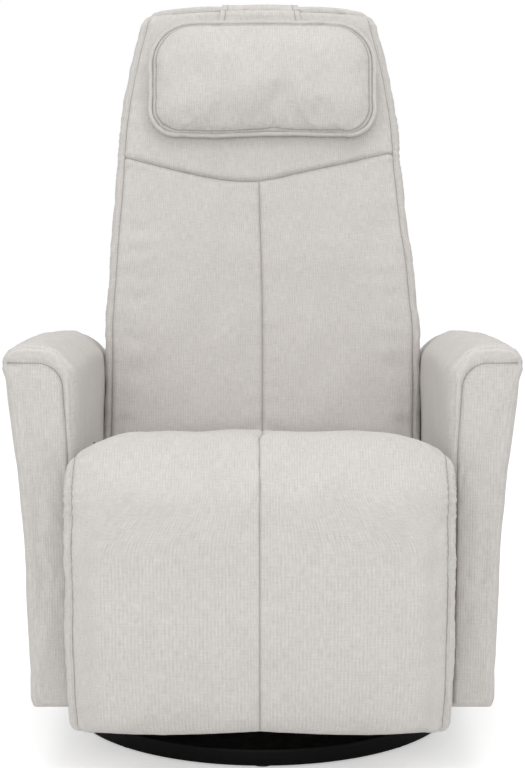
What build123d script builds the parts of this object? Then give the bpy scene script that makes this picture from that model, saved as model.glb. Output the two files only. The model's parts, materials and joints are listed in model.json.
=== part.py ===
from build123d import *

import os
from math import cos, radians, sin, tan

# A swivel glider armchair: a round base, a ring bearing, a hanging-link glider, a seat between
# two arms, a reclining back with a sliding head pillow, and a padded footrest that swings up.
# Millimetres, +Z up. The chair faces -Y and +X is the sitter's left.
# The origin is on the floor, on the swivel's axis.

# ---- base and swivel bearing ----------------------------------------------------------------
glide_height = 4.0          # felt glides under the base
glide_radius = 15.0
glide_count = 8
glide_inset = 22.0          # from the base's rim to a glide's centre
base_radius = 294.0
base_thick = 25.0
base_edge_radius = 5.0
plate_thick = 4.0           # both bearing plates
lower_plate_radius = 112.0
upper_plate_radius = 150.0
ball_radius = 5.0
ball_circle = 88.0
ball_count = 18
plate_gap = 6.0             # between the two bearing plates
king_pin_radius = 9.0
king_head_radius = 16.0
king_head_thick = 6.0
base_screw_radius = 3.0
base_screw_head_radius = 5.5
base_screw_head = 2.5
base_screw_depth = 16.0
base_screw_circle = 58.0
base_screw_count = 6

# ---- fits ------------------------------------------------------------------------------------
run_gap = 0.05              # radial, between a turning pin and its bore
open_pivot_gap = 0.5        # radial, at the rear links' lower pivots
seat_gap = 0.5              # between bodies that move past each other face to face
bolt_gap = 0.2              # radial, round a bolt
press_gap = 0.02            # radial, round a pin fixed in its plate

# ---- glider ----------------------------------------------------------------------------------
link_length = 140.0         # between a link's two pivots
link_width = 34.0
link_thick = 8.0
link_spread = 230.0         # front pivots to rear pivots
upper_pivot_height = 225.0
pivot_pin_radius = 7.0
pivot_head_radius = 12.0
pivot_head_thick = 4.0
pivot_clip_radius = 11.0
pivot_clip_thick = 2.0
hanger_thick = 6.0
link_side_gap = 6.0         # between a link and the plate on each side of it
pin_end_margin = 1.0        # how far a pin passes its clip
carriage_thick = 5.0
carriage_overlap = 60.0      # how far the side plates reach up the seat rails
side_plate_margin = 30.0    # plate past the pivots, fore and aft
side_plate_corner = 14.0
lightening_radius = 36.0
lightening_spread = 120.0
cross_tube = 25.0
cross_tube_wall = 2.0
cross_tube_spread = 220.0

# ---- seat frame and cushion ------------------------------------------------------------------
arm_gap = 514.0             # clear width between the two arms
spacer_thick = 5.0          # between a seat rail and an arm
rail_thick = 20.0           # timber rails of the seat
rail_bottom = 225.0
rail_front = -296.0
valance_rail_gap = 2.0      # from the side rails' rear ends to the rear panel
seat_tilt = 11.5            # degrees the seat falls towards the back
knee_y = -335.0             # footrest hinge, inside the front roll
knee_z = 408.0
knee_radius = 86.0
knee_bore = 14.0            # clear space in the padding round the hinge
cushion_thick = 100.0
cushion_back_gap = 1.5      # from the cushion's rear end to the back's foot
cushion_side_gap = 7.0
lip_thick = 50.0            # how much less deep the slope under the front is than the cushion is thick
spring_wire = 2.0           # wire radius
spring_count = 5
spring_swing = 24.0         # half width of a spring's zigzag
spring_step = 30.0
spring_bend = 8.0
spring_clearance = 1.5
rear_rail_y = 78.0
rear_rail_bottom = 250.0
front_rail_drop = 82.0      # height of the front rail

# ---- arms ------------------------------------------------------------------------------------
arm_foot = 92.0             # underside of an arm above the floor
arm_foot_width = 72.0
arm_flare = 31.0            # how far the outer face leans out towards the top
arm_flare_power = 2.3
arm_top = 588.0             # height of the top edges at the front
arm_crown = 26.0            # rise of the padded top over those edges
arm_front = -310.0
arm_length = 610.0
arm_fall = 5.5              # degrees the top falls towards the back
arm_side_pad = 6.0          # covering on the inner face
arm_end_pad = 18.0          # padding on the front and rear ends
arm_core_width = 46.0       # timber frame inside the arm
arm_core_gap = 1.0
arm_core_fall = 76.0        # top of the frame below the arm's edges at the front
arm_panel_thick = 16.0
arm_post_depth = 40.0
arm_rail_height = 36.0
arm_core_lift = 14.0        # frame above the arm's underside
bolt_radius = 4.0
bolt_head_radius = 8.0
bolt_head = 4.0
bolt_height = 255.0
bolt_spread = 440.0

# ---- footrest --------------------------------------------------------------------------------
footrest_overlap = 9.0       # how far each side of the pad stands in front of an arm
footrest_bottom = 77.0
footrest_foot_in = 40.0     # how far the bottom edge stands back from the front face
footrest_foot_depth = 34.0
footrest_bulge_height = 160.0
footrest_board_thick = 15.0
board_inset = 26.0           # from the pad's side to the board's end
footrest_board_top = 340.0
footrest_board_bottom = 96.0
footrest_arm_inset = 26.0    # from the seat rails' inner faces to the footrest arms'
footrest_arm_thick = 4.0
footrest_arm_width = 16.0
footrest_arm_low = 150.0
hinge_pin_radius = 5.0
hinge_eye_radius = 10.0
hinge_side_gap = 1.0
hinge_bracket_thick = 4.0
hinge_bracket_height = 62.0

# ---- back ------------------------------------------------------------------------------------
back_tilt = 16.0            # degrees from upright at rest
back_pivot_y = 186.0
back_pivot_z = 350.0
back_foot = -25.0           # along the back, from the pivot
back_shoulder = 205.0
back_top = 742.0
back_crown = 8.0
back_side_gap = 4.0         # from the back's foot to each arm
back_draw_mid = 20.5        # how much narrower each half is at back_mid
back_mid = 451.0
back_draw_high = 32.0
back_high = 590.0
back_draw_top = 66.0
back_corner = 30.0
back_front = 85.0           # front face, square to the back, from the pivot
back_cushion_front_radius = 22.0
frame_half_thick = 12.0     # half the timber frame's thickness
frame_cover_gap = 1.0
stile_side_gap = 5.0        # from a stile's foot to its bracket
stile_cover = 11.0          # from a stile's top to the back's side
stile_foot = -20.0
stile_top = 692.0
stile_width = 46.0
back_rail_height = 56.0
webbing_thick = 2.0
webbing_width = 50.0
webbing_count = 7
webbing_pitch = 82.0
webbing_start = 90.0
back_panel_thick = 7.5
back_panel_inset = 12.0
wrap_foot = 62.0            # the cushion's side wings start here
back_pin_radius = 6.0
back_pin_depth = 18.0       # how deep a pin enters its stile
bracket_thick = 5.0
bracket_width = 44.0
bracket_eye_radius = 13.0

# ---- head pillow, strap and counterweight ----------------------------------------------------
pillow_width = 368.0
pillow_height = 190.0
pillow_thick = 58.0
pillow_middle = 613.0       # along the back, from the pivot
pillow_corner = 70.0
pillow_edge = 20.0
strap_width = 118.0
strap_thick = 2.5
strap_gap = 0.4
strap_corner = 7.0
strap_front_end = 560.0
strap_rear_end = 538.0
weight_middle = 495.0
weight_height = 150.0
weight_width = 136.0
weight_thick = 18.0
weight_skin = 2.5
plate_width = 112.0
plate_height = 90.0

# ---- rear panel and release lever ------------------------------------------------------------
valance_thick = 8.0
valance_y = 262.0
valance_bottom = 104.0
valance_top = 372.0
valance_side_gap = 1.0
lever_thick = 3.0
lever_width = 22.0
lever_pivot_y = -60.0
lever_pivot_z = 272.0
lever_length = 148.0
lever_pin_radius = 4.0
lever_pin_share = 0.7       # how deep the pin sits in the rail, as a share of the rail

# ---- places worked out from the sizes above --------------------------------------------------
base_top = glide_height + base_thick
lower_plate_top = base_top + plate_thick
upper_plate_bottom = lower_plate_top + plate_gap
upper_plate_top = upper_plate_bottom + plate_thick
ball_height = lower_plate_top + plate_gap / 2
lower_pivot_height = upper_pivot_height - link_length
arm_inner = arm_gap / 2
rail_outer = arm_inner - spacer_thick
rail_inner = rail_outer - rail_thick
cushion_lip = cushion_thick - lip_thick
carriage_inner = rail_inner - carriage_thick
link_outer = carriage_inner - link_side_gap
link_inner = link_outer - link_thick
hanger_outer = link_inner - link_side_gap
hanger_inner = hanger_outer - hanger_thick
footrest_half_width = arm_inner + footrest_overlap
footrest_board_half = footrest_half_width - board_inset
back_half_low = arm_inner - back_side_gap
back_half_mid = back_half_low - back_draw_mid
back_half_high = back_half_low - back_draw_high
back_half_top = back_half_low - back_draw_top
stile_foot_half = carriage_inner - stile_side_gap
stile_top_half = back_half_top - stile_cover
footrest_arm_x = rail_inner - footrest_arm_inset
cushion_half = arm_inner - cushion_side_gap
arm_core_inner = arm_inner + arm_side_pad
arm_core_outer = arm_core_inner + arm_core_width
arm_core_top = arm_top - arm_core_fall
arm_core_foot = arm_foot + arm_core_lift
arm_core_front = arm_front + arm_end_pad
arm_core_rear = arm_front + arm_length - arm_end_pad
knee_front = knee_y - knee_radius
seat_slope = tan(radians(seat_tilt))
plate_length = link_spread + 2 * side_plate_margin
cross_tube_bore = cross_tube - 2 * cross_tube_wall
arm_core_middle = (arm_core_front + arm_core_rear) / 2
rail_rear = valance_y - valance_rail_gap
cushion_drop = cushion_thick / cos(radians(seat_tilt))
board_front = knee_y + 2.0
pad_rear = knee_y + seat_gap
board_rear = board_front + footrest_board_thick
bracket_inner = footrest_arm_x + footrest_arm_thick + hinge_side_gap
panel_face = frame_half_thick + seat_gap
back_rear = panel_face + back_panel_thick
cushion_rear_face = frame_half_thick + webbing_thick + frame_cover_gap
pillow_back = back_front + strap_gap + strap_thick + seat_gap
pouch_face = back_rear + strap_gap + strap_thick + seat_gap
sides = (("left", 1), ("right", -1))

lean = radians(back_tilt)
cushion_rear = back_pivot_y - back_front * cos(lean) + back_foot * sin(lean) - cushion_back_gap

# The back's own plane: X across, Y up along the back, +Z out of its front face.
back_plane = Plane(
    origin=(0, back_pivot_y, back_pivot_z), x_dir=(1, 0, 0), z_dir=(0, -cos(lean), sin(lean))
)
# The back seen from its side: X from front to rear through it, Y up along it, +Z to the left.
back_side_plane = Plane(
    origin=(0, back_pivot_y, back_pivot_z), x_dir=(0, cos(lean), -sin(lean)), z_dir=(1, 0, 0)
)

os.makedirs("parts", exist_ok=True)


def save(piece, name):
    """Label a finished piece and write its STEP file."""
    piece.part.label = name
    export_step(piece.part, f"parts/{name}.step")


def across(y):
    """The upright plane at depth y, drawn with X across and Z up, facing the front."""
    return Plane.XZ.offset(-y)


def along(x):
    """The upright plane at width x, drawn with Y across and Z up."""
    return Plane.YZ.offset(x)


def seat_top(y):
    """Height of the seat's sloping top at depth y: the tangent to the front roll."""
    return knee_z + knee_radius / cos(radians(seat_tilt)) - (y - knee_y) * seat_slope


def seat_bottom(y):
    """Height of the seat cushion's underside at depth y."""
    return seat_top(y) - cushion_drop


def rail_top(y):
    """Height of the seat rails' top at depth y: the springs lie on it, under the cushion."""
    return seat_bottom(y) - spring_clearance - 2 * spring_wire


def stile_outer(v):
    """Half width over the back's stiles at distance v up the back."""
    share = (v - stile_foot) / (stile_top - stile_foot)
    return stile_foot_half + (stile_top_half - stile_foot_half) * share


# ---- base ------------------------------------------------------------------------------------
def make_base():
    with BuildPart() as base_disc:
        with BuildSketch(Plane.XY.offset(glide_height)):
            Circle(base_radius)
        extrude(amount=base_thick)
        fillet(base_disc.edges().filter_by(GeomType.CIRCLE).sort_by(Axis.Z)[-1], base_edge_radius)
        with BuildSketch(Plane.XY.offset(base_top)):
            with PolarLocations(base_screw_circle, base_screw_count):
                Circle(base_screw_radius + bolt_gap)
        extrude(amount=-(base_screw_depth + bolt_gap), mode=Mode.SUBTRACT)
    save(base_disc, "base_disc")

    with BuildPart() as base_glides:
        with BuildSketch(Plane.XY):
            with PolarLocations(base_radius - glide_inset, glide_count):
                Circle(glide_radius)
        extrude(amount=glide_height)
    save(base_glides, "base_glides")


def make_bearing():
    with BuildPart() as lower_plate:
        with BuildSketch(Plane.XY.offset(base_top)):
            Circle(lower_plate_radius)
            Circle(king_pin_radius, mode=Mode.SUBTRACT)
            with PolarLocations(base_screw_circle, base_screw_count):
                Circle(base_screw_radius + bolt_gap, mode=Mode.SUBTRACT)
        extrude(amount=plate_thick)
        with Locations((0, 0, ball_height)):
            Torus(ball_circle, ball_radius + run_gap, mode=Mode.SUBTRACT)
    save(lower_plate, "bearing_plate_lower")

    with BuildPart() as upper_plate:
        with BuildSketch(Plane.XY.offset(upper_plate_bottom)):
            Circle(upper_plate_radius)
            Circle(king_pin_radius + run_gap, mode=Mode.SUBTRACT)
        extrude(amount=plate_thick)
        with Locations((0, 0, ball_height)):
            Torus(ball_circle, ball_radius + run_gap, mode=Mode.SUBTRACT)
    save(upper_plate, "bearing_plate_upper")

    with BuildPart() as bearing_balls:
        with Locations((0, 0, ball_height)):
            with PolarLocations(ball_circle, ball_count):
                Sphere(ball_radius)
    save(bearing_balls, "bearing_balls")

    with BuildPart() as king_pin:
        with BuildSketch(Plane.XY.offset(base_top)):
            Circle(king_pin_radius)
        extrude(amount=upper_plate_top + seat_gap - base_top)
        with BuildSketch(Plane.XY.offset(upper_plate_top + seat_gap)):
            Circle(king_head_radius)
        extrude(amount=king_head_thick)
        chamfer(king_pin.edges().filter_by(GeomType.CIRCLE).sort_by(Axis.Z)[-1], king_head_thick / 4)
    save(king_pin, "swivel_king_pin")

    with BuildPart() as base_screws:
        with BuildSketch(Plane.XY.offset(lower_plate_top)):
            with PolarLocations(base_screw_circle, base_screw_count):
                Circle(base_screw_head_radius)
        extrude(amount=base_screw_head)
        with BuildSketch(Plane.XY.offset(lower_plate_top)):
            with PolarLocations(base_screw_circle, base_screw_count):
                Circle(base_screw_radius)
        extrude(amount=-(plate_thick + base_screw_depth))
    save(base_screws, "base_screws")


# ---- glider ----------------------------------------------------------------------------------
def pivot_pins(name, height, widths):
    """Four pivot pins as one node: a head, a shank and a clip each, on the link pivots."""
    head_from, head_to, shank_to, clip_from, clip_to = widths
    lengths = (
        (head_from, head_to, pivot_head_radius),
        (head_to, shank_to, pivot_pin_radius),
        (clip_from, clip_to, pivot_clip_radius),
    )
    with BuildPart() as pins:
        for _, side in sides:
            for start, stop, radius in lengths:
                with BuildSketch(along(side * start)):
                    with Locations((0, height)):
                        with GridLocations(link_spread, 1, 2, 1):
                            Circle(radius)
                extrude(amount=side * (stop - start))
    save(pins, name)


def make_hangers():
    top = upper_pivot_height + link_width / 2
    for name, side in sides:
        with BuildPart() as hanger:
            with BuildSketch(along(side * hanger_inner)):
                with Locations((0, (upper_plate_top + top) / 2)):
                    RectangleRounded(plate_length, top - upper_plate_top, side_plate_corner)
                    with GridLocations(lightening_spread, 1, 2, 1):
                        Circle(lightening_radius, mode=Mode.SUBTRACT)
                with Locations((0, upper_pivot_height)):
                    with GridLocations(link_spread, 1, 2, 1):
                        Circle(pivot_pin_radius + press_gap, mode=Mode.SUBTRACT)
            extrude(amount=side * hanger_thick)
        save(hanger, f"hanger_plate_{name}")

    clip = link_outer + seat_gap
    clip_end = clip + pivot_clip_thick
    head = hanger_inner - pivot_head_thick
    widths = (head, hanger_inner, clip_end + pin_end_margin, clip, clip_end)
    pivot_pins("hanger_pins", upper_pivot_height, widths)

    with BuildPart() as cross_tubes:
        with BuildSketch(along(-hanger_inner)):
            with Locations((0, upper_plate_top + cross_tube / 2)):
                with GridLocations(cross_tube_spread, 1, 2, 1):
                    Rectangle(cross_tube, cross_tube)
                    Rectangle(cross_tube_bore, cross_tube_bore, mode=Mode.SUBTRACT)
        extrude(amount=2 * hanger_inner)
    save(cross_tubes, "glider_cross_tubes")


def make_links():
    for end, place, low_gap in (("front", -1, run_gap), ("rear", 1, open_pivot_gap)):
        for name, side in sides:
            pivot_y = place * link_spread / 2
            with BuildPart() as link:
                with BuildSketch(along(side * link_inner)):
                    with Locations((pivot_y, (upper_pivot_height + lower_pivot_height) / 2)):
                        SlotCenterToCenter(link_length, link_width, rotation=90)
                    with Locations((pivot_y, upper_pivot_height)):
                        Circle(pivot_pin_radius + run_gap, mode=Mode.SUBTRACT)
                    with Locations((pivot_y, lower_pivot_height)):
                        Circle(pivot_pin_radius + low_gap, mode=Mode.SUBTRACT)
                extrude(amount=side * link_thick)
            save(link, f"{end}_link_{name}")


def make_carriage():
    bottom = lower_pivot_height - link_width / 2
    top = rail_bottom + carriage_overlap
    for name, side in sides:
        with BuildPart() as carriage:
            with BuildSketch(along(side * carriage_inner)):
                with Locations((0, (bottom + top) / 2)):
                    RectangleRounded(plate_length, top - bottom, side_plate_corner)
                    with GridLocations(lightening_spread, 1, 2, 1):
                        Circle(lightening_radius, mode=Mode.SUBTRACT)
                with Locations((0, lower_pivot_height)):
                    with GridLocations(link_spread, 1, 2, 1):
                        Circle(pivot_pin_radius + press_gap, mode=Mode.SUBTRACT)
            extrude(amount=side * carriage_thick)
        save(carriage, f"carriage_plate_{name}")

    clip = link_inner - seat_gap
    clip_end = clip - pivot_clip_thick
    head = rail_inner + pivot_head_thick
    widths = (head, rail_inner, clip_end - pin_end_margin, clip, clip_end)
    pivot_pins("carriage_pins", lower_pivot_height, widths)


# ---- seat frame and cushion ------------------------------------------------------------------
def make_seat_frame():
    rear_top = rail_top(rear_rail_y + rail_thick)
    for name, side in sides:
        with BuildPart() as rail:
            with BuildSketch(along(side * rail_inner)):
                Polygon(
                    (rail_front, rail_bottom),
                    (rail_rear, rail_bottom),
                    (rail_rear, rear_top),
                    (rear_rail_y + rail_thick, rear_top),
                    (rail_front, rail_top(rail_front)),
                    align=None,
                )
                with Locations((0, bolt_height)):
                    with GridLocations(bolt_spread, 1, 2, 1):
                        Circle(bolt_radius + bolt_gap, mode=Mode.SUBTRACT)
            extrude(amount=side * rail_thick)
            if name == "right":
                with BuildSketch(along(-rail_outer)):
                    with Locations((lever_pivot_y, lever_pivot_z)):
                        Circle(lever_pin_radius + press_gap)
                extrude(amount=rail_thick * lever_pin_share, mode=Mode.SUBTRACT)
        save(rail, f"seat_rail_{name}")

    with BuildPart() as front_rail:
        with BuildSketch(along(-rail_inner)):
            front_top = rail_top(rail_front + rail_thick)
            Polygon(
                (rail_front, rail_top(rail_front) - front_rail_drop),
                (rail_front + rail_thick, rail_top(rail_front) - front_rail_drop),
                (rail_front + rail_thick, front_top),
                (rail_front, rail_top(rail_front)),
                align=None,
            )
        extrude(amount=2 * rail_inner)
    save(front_rail, "seat_rail_front")

    with BuildPart() as rear_rail:
        with BuildSketch(along(-carriage_inner)):
            Polygon(
                (rear_rail_y, rear_rail_bottom),
                (rear_rail_y + rail_thick, rear_rail_bottom),
                (rear_rail_y + rail_thick, rear_top),
                (rear_rail_y, rail_top(rear_rail_y)),
                align=None,
            )
        extrude(amount=2 * carriage_inner)
    save(rear_rail, "seat_rail_rear")


def make_seat_springs():
    """Zigzag wires from the front rail to the rear rail, just under the cushion."""
    start_y = rail_front + rail_thick / 2
    run = (rear_rail_y + rail_thick / 2 - start_y) / cos(radians(seat_tilt))
    spring_lift = (spring_wire + run_gap) / cos(radians(seat_tilt))
    turns = int(run / spring_step)
    step = run / turns
    pitch = 2 * (rail_inner - rail_thick) / spring_count
    with BuildPart() as seat_springs:
        for number in range(spring_count):
            middle = (number - (spring_count - 1) / 2) * pitch
            wire_plane = Plane(
                origin=(middle, start_y, rail_top(start_y) + spring_lift),
                x_dir=(1, 0, 0),
                z_dir=(0, sin(radians(seat_tilt)), cos(radians(seat_tilt))),
            )
            corners = []
            for turn in range(turns + 1):
                swing = spring_swing if turn % 2 == 0 else -spring_swing
                corners.append((-swing, turn * step))
                corners.append((swing, turn * step))
            with BuildLine(wire_plane) as path:
                FilletPolyline(*corners, radius=spring_bend)
            with BuildSketch(Plane(origin=path.line @ 0, z_dir=path.line % 0)):
                Circle(spring_wire)
            sweep(path=path.line)
    save(seat_springs, "seat_springs")


def make_seat_padding():
    low_front = knee_y + cushion_lip
    tangent_angle = 90 - seat_tilt
    with BuildPart() as seat_cushion:
        with BuildSketch(along(-cushion_half)):
            with BuildLine():
                CenterArc((knee_y, knee_z), knee_radius, tangent_angle, seat_tilt)
                Polyline(
                    (knee_y, knee_z + knee_radius),
                    (knee_y, knee_z + knee_bore),
                    (low_front, seat_bottom(low_front)),
                    (cushion_rear, seat_bottom(cushion_rear)),
                    (cushion_rear, seat_top(cushion_rear)),
                    (
                        knee_y + knee_radius * cos(radians(tangent_angle)),
                        knee_z + knee_radius * sin(radians(tangent_angle)),
                    ),
                )
            make_face()
        extrude(amount=2 * cushion_half)
    save(seat_cushion, "seat_cushion")

    with BuildPart() as knee_roll:
        with BuildSketch(along(-footrest_half_width)):
            with BuildLine():
                CenterArc((knee_y, knee_z), knee_radius, 90, 90)
                CenterArc((knee_y, knee_z), knee_bore, 90, 90)
                Line((knee_y, knee_z + knee_bore), (knee_y, knee_z + knee_radius))
                Line((knee_y - knee_bore, knee_z), (knee_y - knee_radius, knee_z))
            make_face()
        extrude(amount=2 * footrest_half_width)
    save(knee_roll, "knee_roll")


# ---- arms ------------------------------------------------------------------------------------
def arm_outer(z):
    """Half width over the arms at height z: a lean that sets in late and grows towards the top."""
    share = (z - arm_foot) / (arm_top - arm_foot)
    return arm_inner + arm_foot_width + arm_flare * share**arm_flare_power


def make_arms():
    fall = radians(arm_fall)
    core_depth = arm_core_rear - arm_core_front
    flare_steps = 6
    for name, side in sides:
        with BuildPart() as cover:
            with BuildSketch(across(arm_front)):
                with BuildLine():
                    rise = (arm_top - arm_foot) / flare_steps
                    heights = [arm_foot + step * rise for step in range(flare_steps + 1)]
                    Spline(*[(side * arm_outer(height), height) for height in heights])
                    Line((side * arm_outer(arm_foot), arm_foot), (side * arm_inner, arm_foot))
                    Line((side * arm_inner, arm_foot), (side * arm_inner, arm_top))
                    ThreePointArc(
                        (side * arm_inner, arm_top),
                        (side * (arm_inner + arm_outer(arm_top)) / 2, arm_top + arm_crown),
                        (side * arm_outer(arm_top), arm_top),
                    )
                make_face()
            extrude(amount=arm_length, dir=(0, cos(fall), -sin(fall)))
            split(bisect_by=Plane.XY.offset(arm_foot), keep=Keep.TOP)
            with BuildSketch(Plane.XY.offset(arm_foot)):
                with Locations((side * (arm_core_inner + arm_core_width / 2), arm_core_middle)):
                    Rectangle(arm_core_width, core_depth)
            extrude(amount=arm_core_top - arm_foot, mode=Mode.SUBTRACT)
            with BuildSketch(along(side * arm_inner)):
                with Locations((0, bolt_height)):
                    with GridLocations(bolt_spread, 1, 2, 1):
                        Circle(bolt_radius + bolt_gap)
            extrude(amount=side * arm_side_pad, mode=Mode.SUBTRACT)
        save(cover, f"arm_cover_{name}")
        make_arm_frame(name, side)


def make_arm_frame(name, side):
    """The timber inside one arm: an inner board, two posts and a top rail."""
    board_inner = arm_core_inner + arm_core_gap
    board_outer = board_inner + arm_panel_thick
    post_width = arm_core_outer - arm_core_gap - board_outer
    depth = arm_core_rear - arm_core_front - 2 * arm_core_gap
    top = arm_core_top - arm_core_gap
    height = top - arm_core_foot
    with BuildPart() as board:
        with BuildSketch(along(side * board_inner)):
            with Locations((arm_core_middle, arm_core_foot + height / 2)):
                Rectangle(depth, height)
            with Locations((0, bolt_height)):
                with GridLocations(bolt_spread, 1, 2, 1):
                    Circle(bolt_radius + bolt_gap, mode=Mode.SUBTRACT)
        extrude(amount=side * arm_panel_thick)
    save(board, f"arm_board_{name}")

    post_height = height - arm_rail_height
    with BuildPart() as posts:
        with BuildSketch(along(side * board_outer)):
            with Locations((arm_core_middle, arm_core_foot + post_height / 2)):
                with GridLocations(depth - arm_post_depth, 1, 2, 1):
                    Rectangle(arm_post_depth, post_height)
        extrude(amount=side * post_width)
    save(posts, f"arm_posts_{name}")

    with BuildPart() as rail:
        with BuildSketch(along(side * board_outer)):
            with Locations((arm_core_middle, top - arm_rail_height / 2)):
                Rectangle(depth, arm_rail_height)
        extrude(amount=side * post_width)
    save(rail, f"arm_top_rail_{name}")


def make_arm_fasteners():
    bolt_end = arm_core_inner + arm_core_gap + arm_panel_thick
    with BuildPart() as arm_bolts:
        for _, side in sides:
            for start, stop, radius in (
                (rail_inner - bolt_head, rail_inner, bolt_head_radius),
                (rail_inner, bolt_end, bolt_radius),
            ):
                with BuildSketch(along(side * start)):
                    with Locations((0, bolt_height)):
                        with GridLocations(bolt_spread, 1, 2, 1):
                            Circle(radius)
                extrude(amount=side * (stop - start))
    save(arm_bolts, "arm_bolts")

    with BuildPart() as arm_spacers:
        for _, side in sides:
            with BuildSketch(along(side * rail_outer)):
                with Locations((0, bolt_height)):
                    with GridLocations(bolt_spread, 1, 2, 1):
                        Circle(2 * bolt_head_radius)
                        Circle(bolt_radius + bolt_gap, mode=Mode.SUBTRACT)
            extrude(amount=side * spacer_thick)
    save(arm_spacers, "arm_spacers")


def make_rear_valance():
    with BuildPart() as valance:
        with BuildSketch(across(valance_y)):
            with Locations((0, (valance_bottom + valance_top) / 2)):
                Rectangle(2 * (arm_inner - valance_side_gap), valance_top - valance_bottom)
        extrude(amount=-valance_thick)
    save(valance, "rear_valance")


# ---- footrest --------------------------------------------------------------------------------
def make_footrest_hinge():
    for name, side in sides:
        with BuildPart() as bracket:
            with BuildSketch(along(side * bracket_inner)):
                with Locations((knee_y, knee_z)):
                    Circle(hinge_eye_radius)
                bracket_top = rail_top(rail_front)
                Polygon(
                    (knee_y, knee_z - hinge_eye_radius),
                    (rail_front, bracket_top - hinge_bracket_height),
                    (rail_front, bracket_top),
                    (knee_y, knee_z + hinge_eye_radius),
                    align=None,
                )
                with Locations((knee_y, knee_z)):
                    Circle(hinge_pin_radius + press_gap, mode=Mode.SUBTRACT)
            extrude(amount=side * hinge_bracket_thick)
        save(bracket, f"footrest_bracket_{name}")

        with BuildPart() as arm:
            with BuildSketch(along(side * footrest_arm_x)):
                strip_top = footrest_board_top + hinge_side_gap
                strip_rear = board_rear + footrest_arm_width
                Polygon(
                    (knee_y + hinge_side_gap, knee_z),
                    (knee_y + hinge_side_gap, strip_top),
                    (board_rear, strip_top),
                    (board_rear, footrest_arm_low),
                    (strip_rear, footrest_arm_low),
                    (strip_rear, knee_z - 2 * hinge_eye_radius),
                    (knee_y + hinge_eye_radius, knee_z),
                    align=None,
                )
                with Locations((knee_y, knee_z)):
                    Circle(hinge_eye_radius)
                    Circle(hinge_pin_radius + run_gap, mode=Mode.SUBTRACT)
            extrude(amount=side * footrest_arm_thick)
        save(arm, f"footrest_arm_{name}")

    with BuildPart() as hinge_pins:
        bracket_outer = bracket_inner + hinge_bracket_thick
        for _, side in sides:
            for start, stop, radius in (
                (footrest_arm_x - hinge_bracket_thick, bracket_outer, hinge_pin_radius),
                (bracket_outer, bracket_outer + hinge_bracket_thick, hinge_eye_radius),
            ):
                with BuildSketch(along(side * start)):
                    with Locations((knee_y, knee_z)):
                        Circle(radius)
                extrude(amount=side * (stop - start))
    save(hinge_pins, "footrest_pins")


def make_footrest():
    with BuildPart() as board:
        with BuildSketch(across(board_front)):
            with Locations((0, (footrest_board_bottom + footrest_board_top) / 2)):
                RectangleRounded(
                    2 * footrest_board_half, footrest_board_top - footrest_board_bottom, side_plate_corner
                )
        extrude(amount=-footrest_board_thick)
    save(board, "footrest_board")

    tube_radius = footrest_arm_width / 2
    with BuildPart() as cross_tube:
        with BuildSketch(along(-footrest_arm_x)):
            with Locations((board_rear + tube_radius, footrest_arm_low + 2 * tube_radius)):
                Circle(tube_radius)
                Circle(tube_radius - cross_tube_wall, mode=Mode.SUBTRACT)
        extrude(amount=2 * footrest_arm_x)
    save(cross_tube, "footrest_cross_tube")

    pad_top = knee_z - seat_gap
    foot_front = knee_front + footrest_foot_in
    foot_rear = foot_front + footrest_foot_depth
    with BuildPart() as footrest_pad:
        with BuildSketch(along(-footrest_half_width)):
            with BuildLine():
                front = Spline(
                    (knee_front, pad_top),
                    (knee_front + footrest_foot_in / 4, footrest_bottom + footrest_bulge_height),
                    (foot_front, footrest_bottom),
                    tangents=((0, -1), (1, -1)),
                )
                Line(front @ 1, (foot_rear, footrest_bottom))
                Line((foot_rear, footrest_bottom), (pad_rear, footrest_board_bottom))
                Line((pad_rear, footrest_board_bottom), (pad_rear, pad_top - knee_bore))
                bore = Line((pad_rear, pad_top - knee_bore), (knee_y - knee_bore, pad_top - knee_bore))
                Line(bore @ 1, (knee_y - knee_bore, pad_top))
                Line((knee_y - knee_bore, pad_top), front @ 0)
            make_face()
        extrude(amount=2 * footrest_half_width)
    save(footrest_pad, "footrest_pad")


# ---- back ------------------------------------------------------------------------------------
def back_outline(inset=0.0):
    """The back's front view, drawn in by inset: straight at the foot, narrower above the arms."""
    with BuildSketch() as outline:
        with BuildLine():
            shoulder = (back_half_low - inset, back_shoulder)
            top_corner = (back_half_top - inset, back_top - inset)
            top_middle = (0, back_top + back_crown - inset)
            Polyline((0, back_foot), (back_half_low - inset, back_foot), shoulder)
            Spline(
                shoulder, (back_half_mid - inset, back_mid), (back_half_high - inset, back_high), top_corner
            )
            TangentArc(top_middle, top_corner, tangent=(1, 0))
            mirror(about=Plane.YZ)
        make_face()
        fillet(outline.vertices().group_by(Axis.Y)[-1], back_corner)
    return outline.sketch


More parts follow.
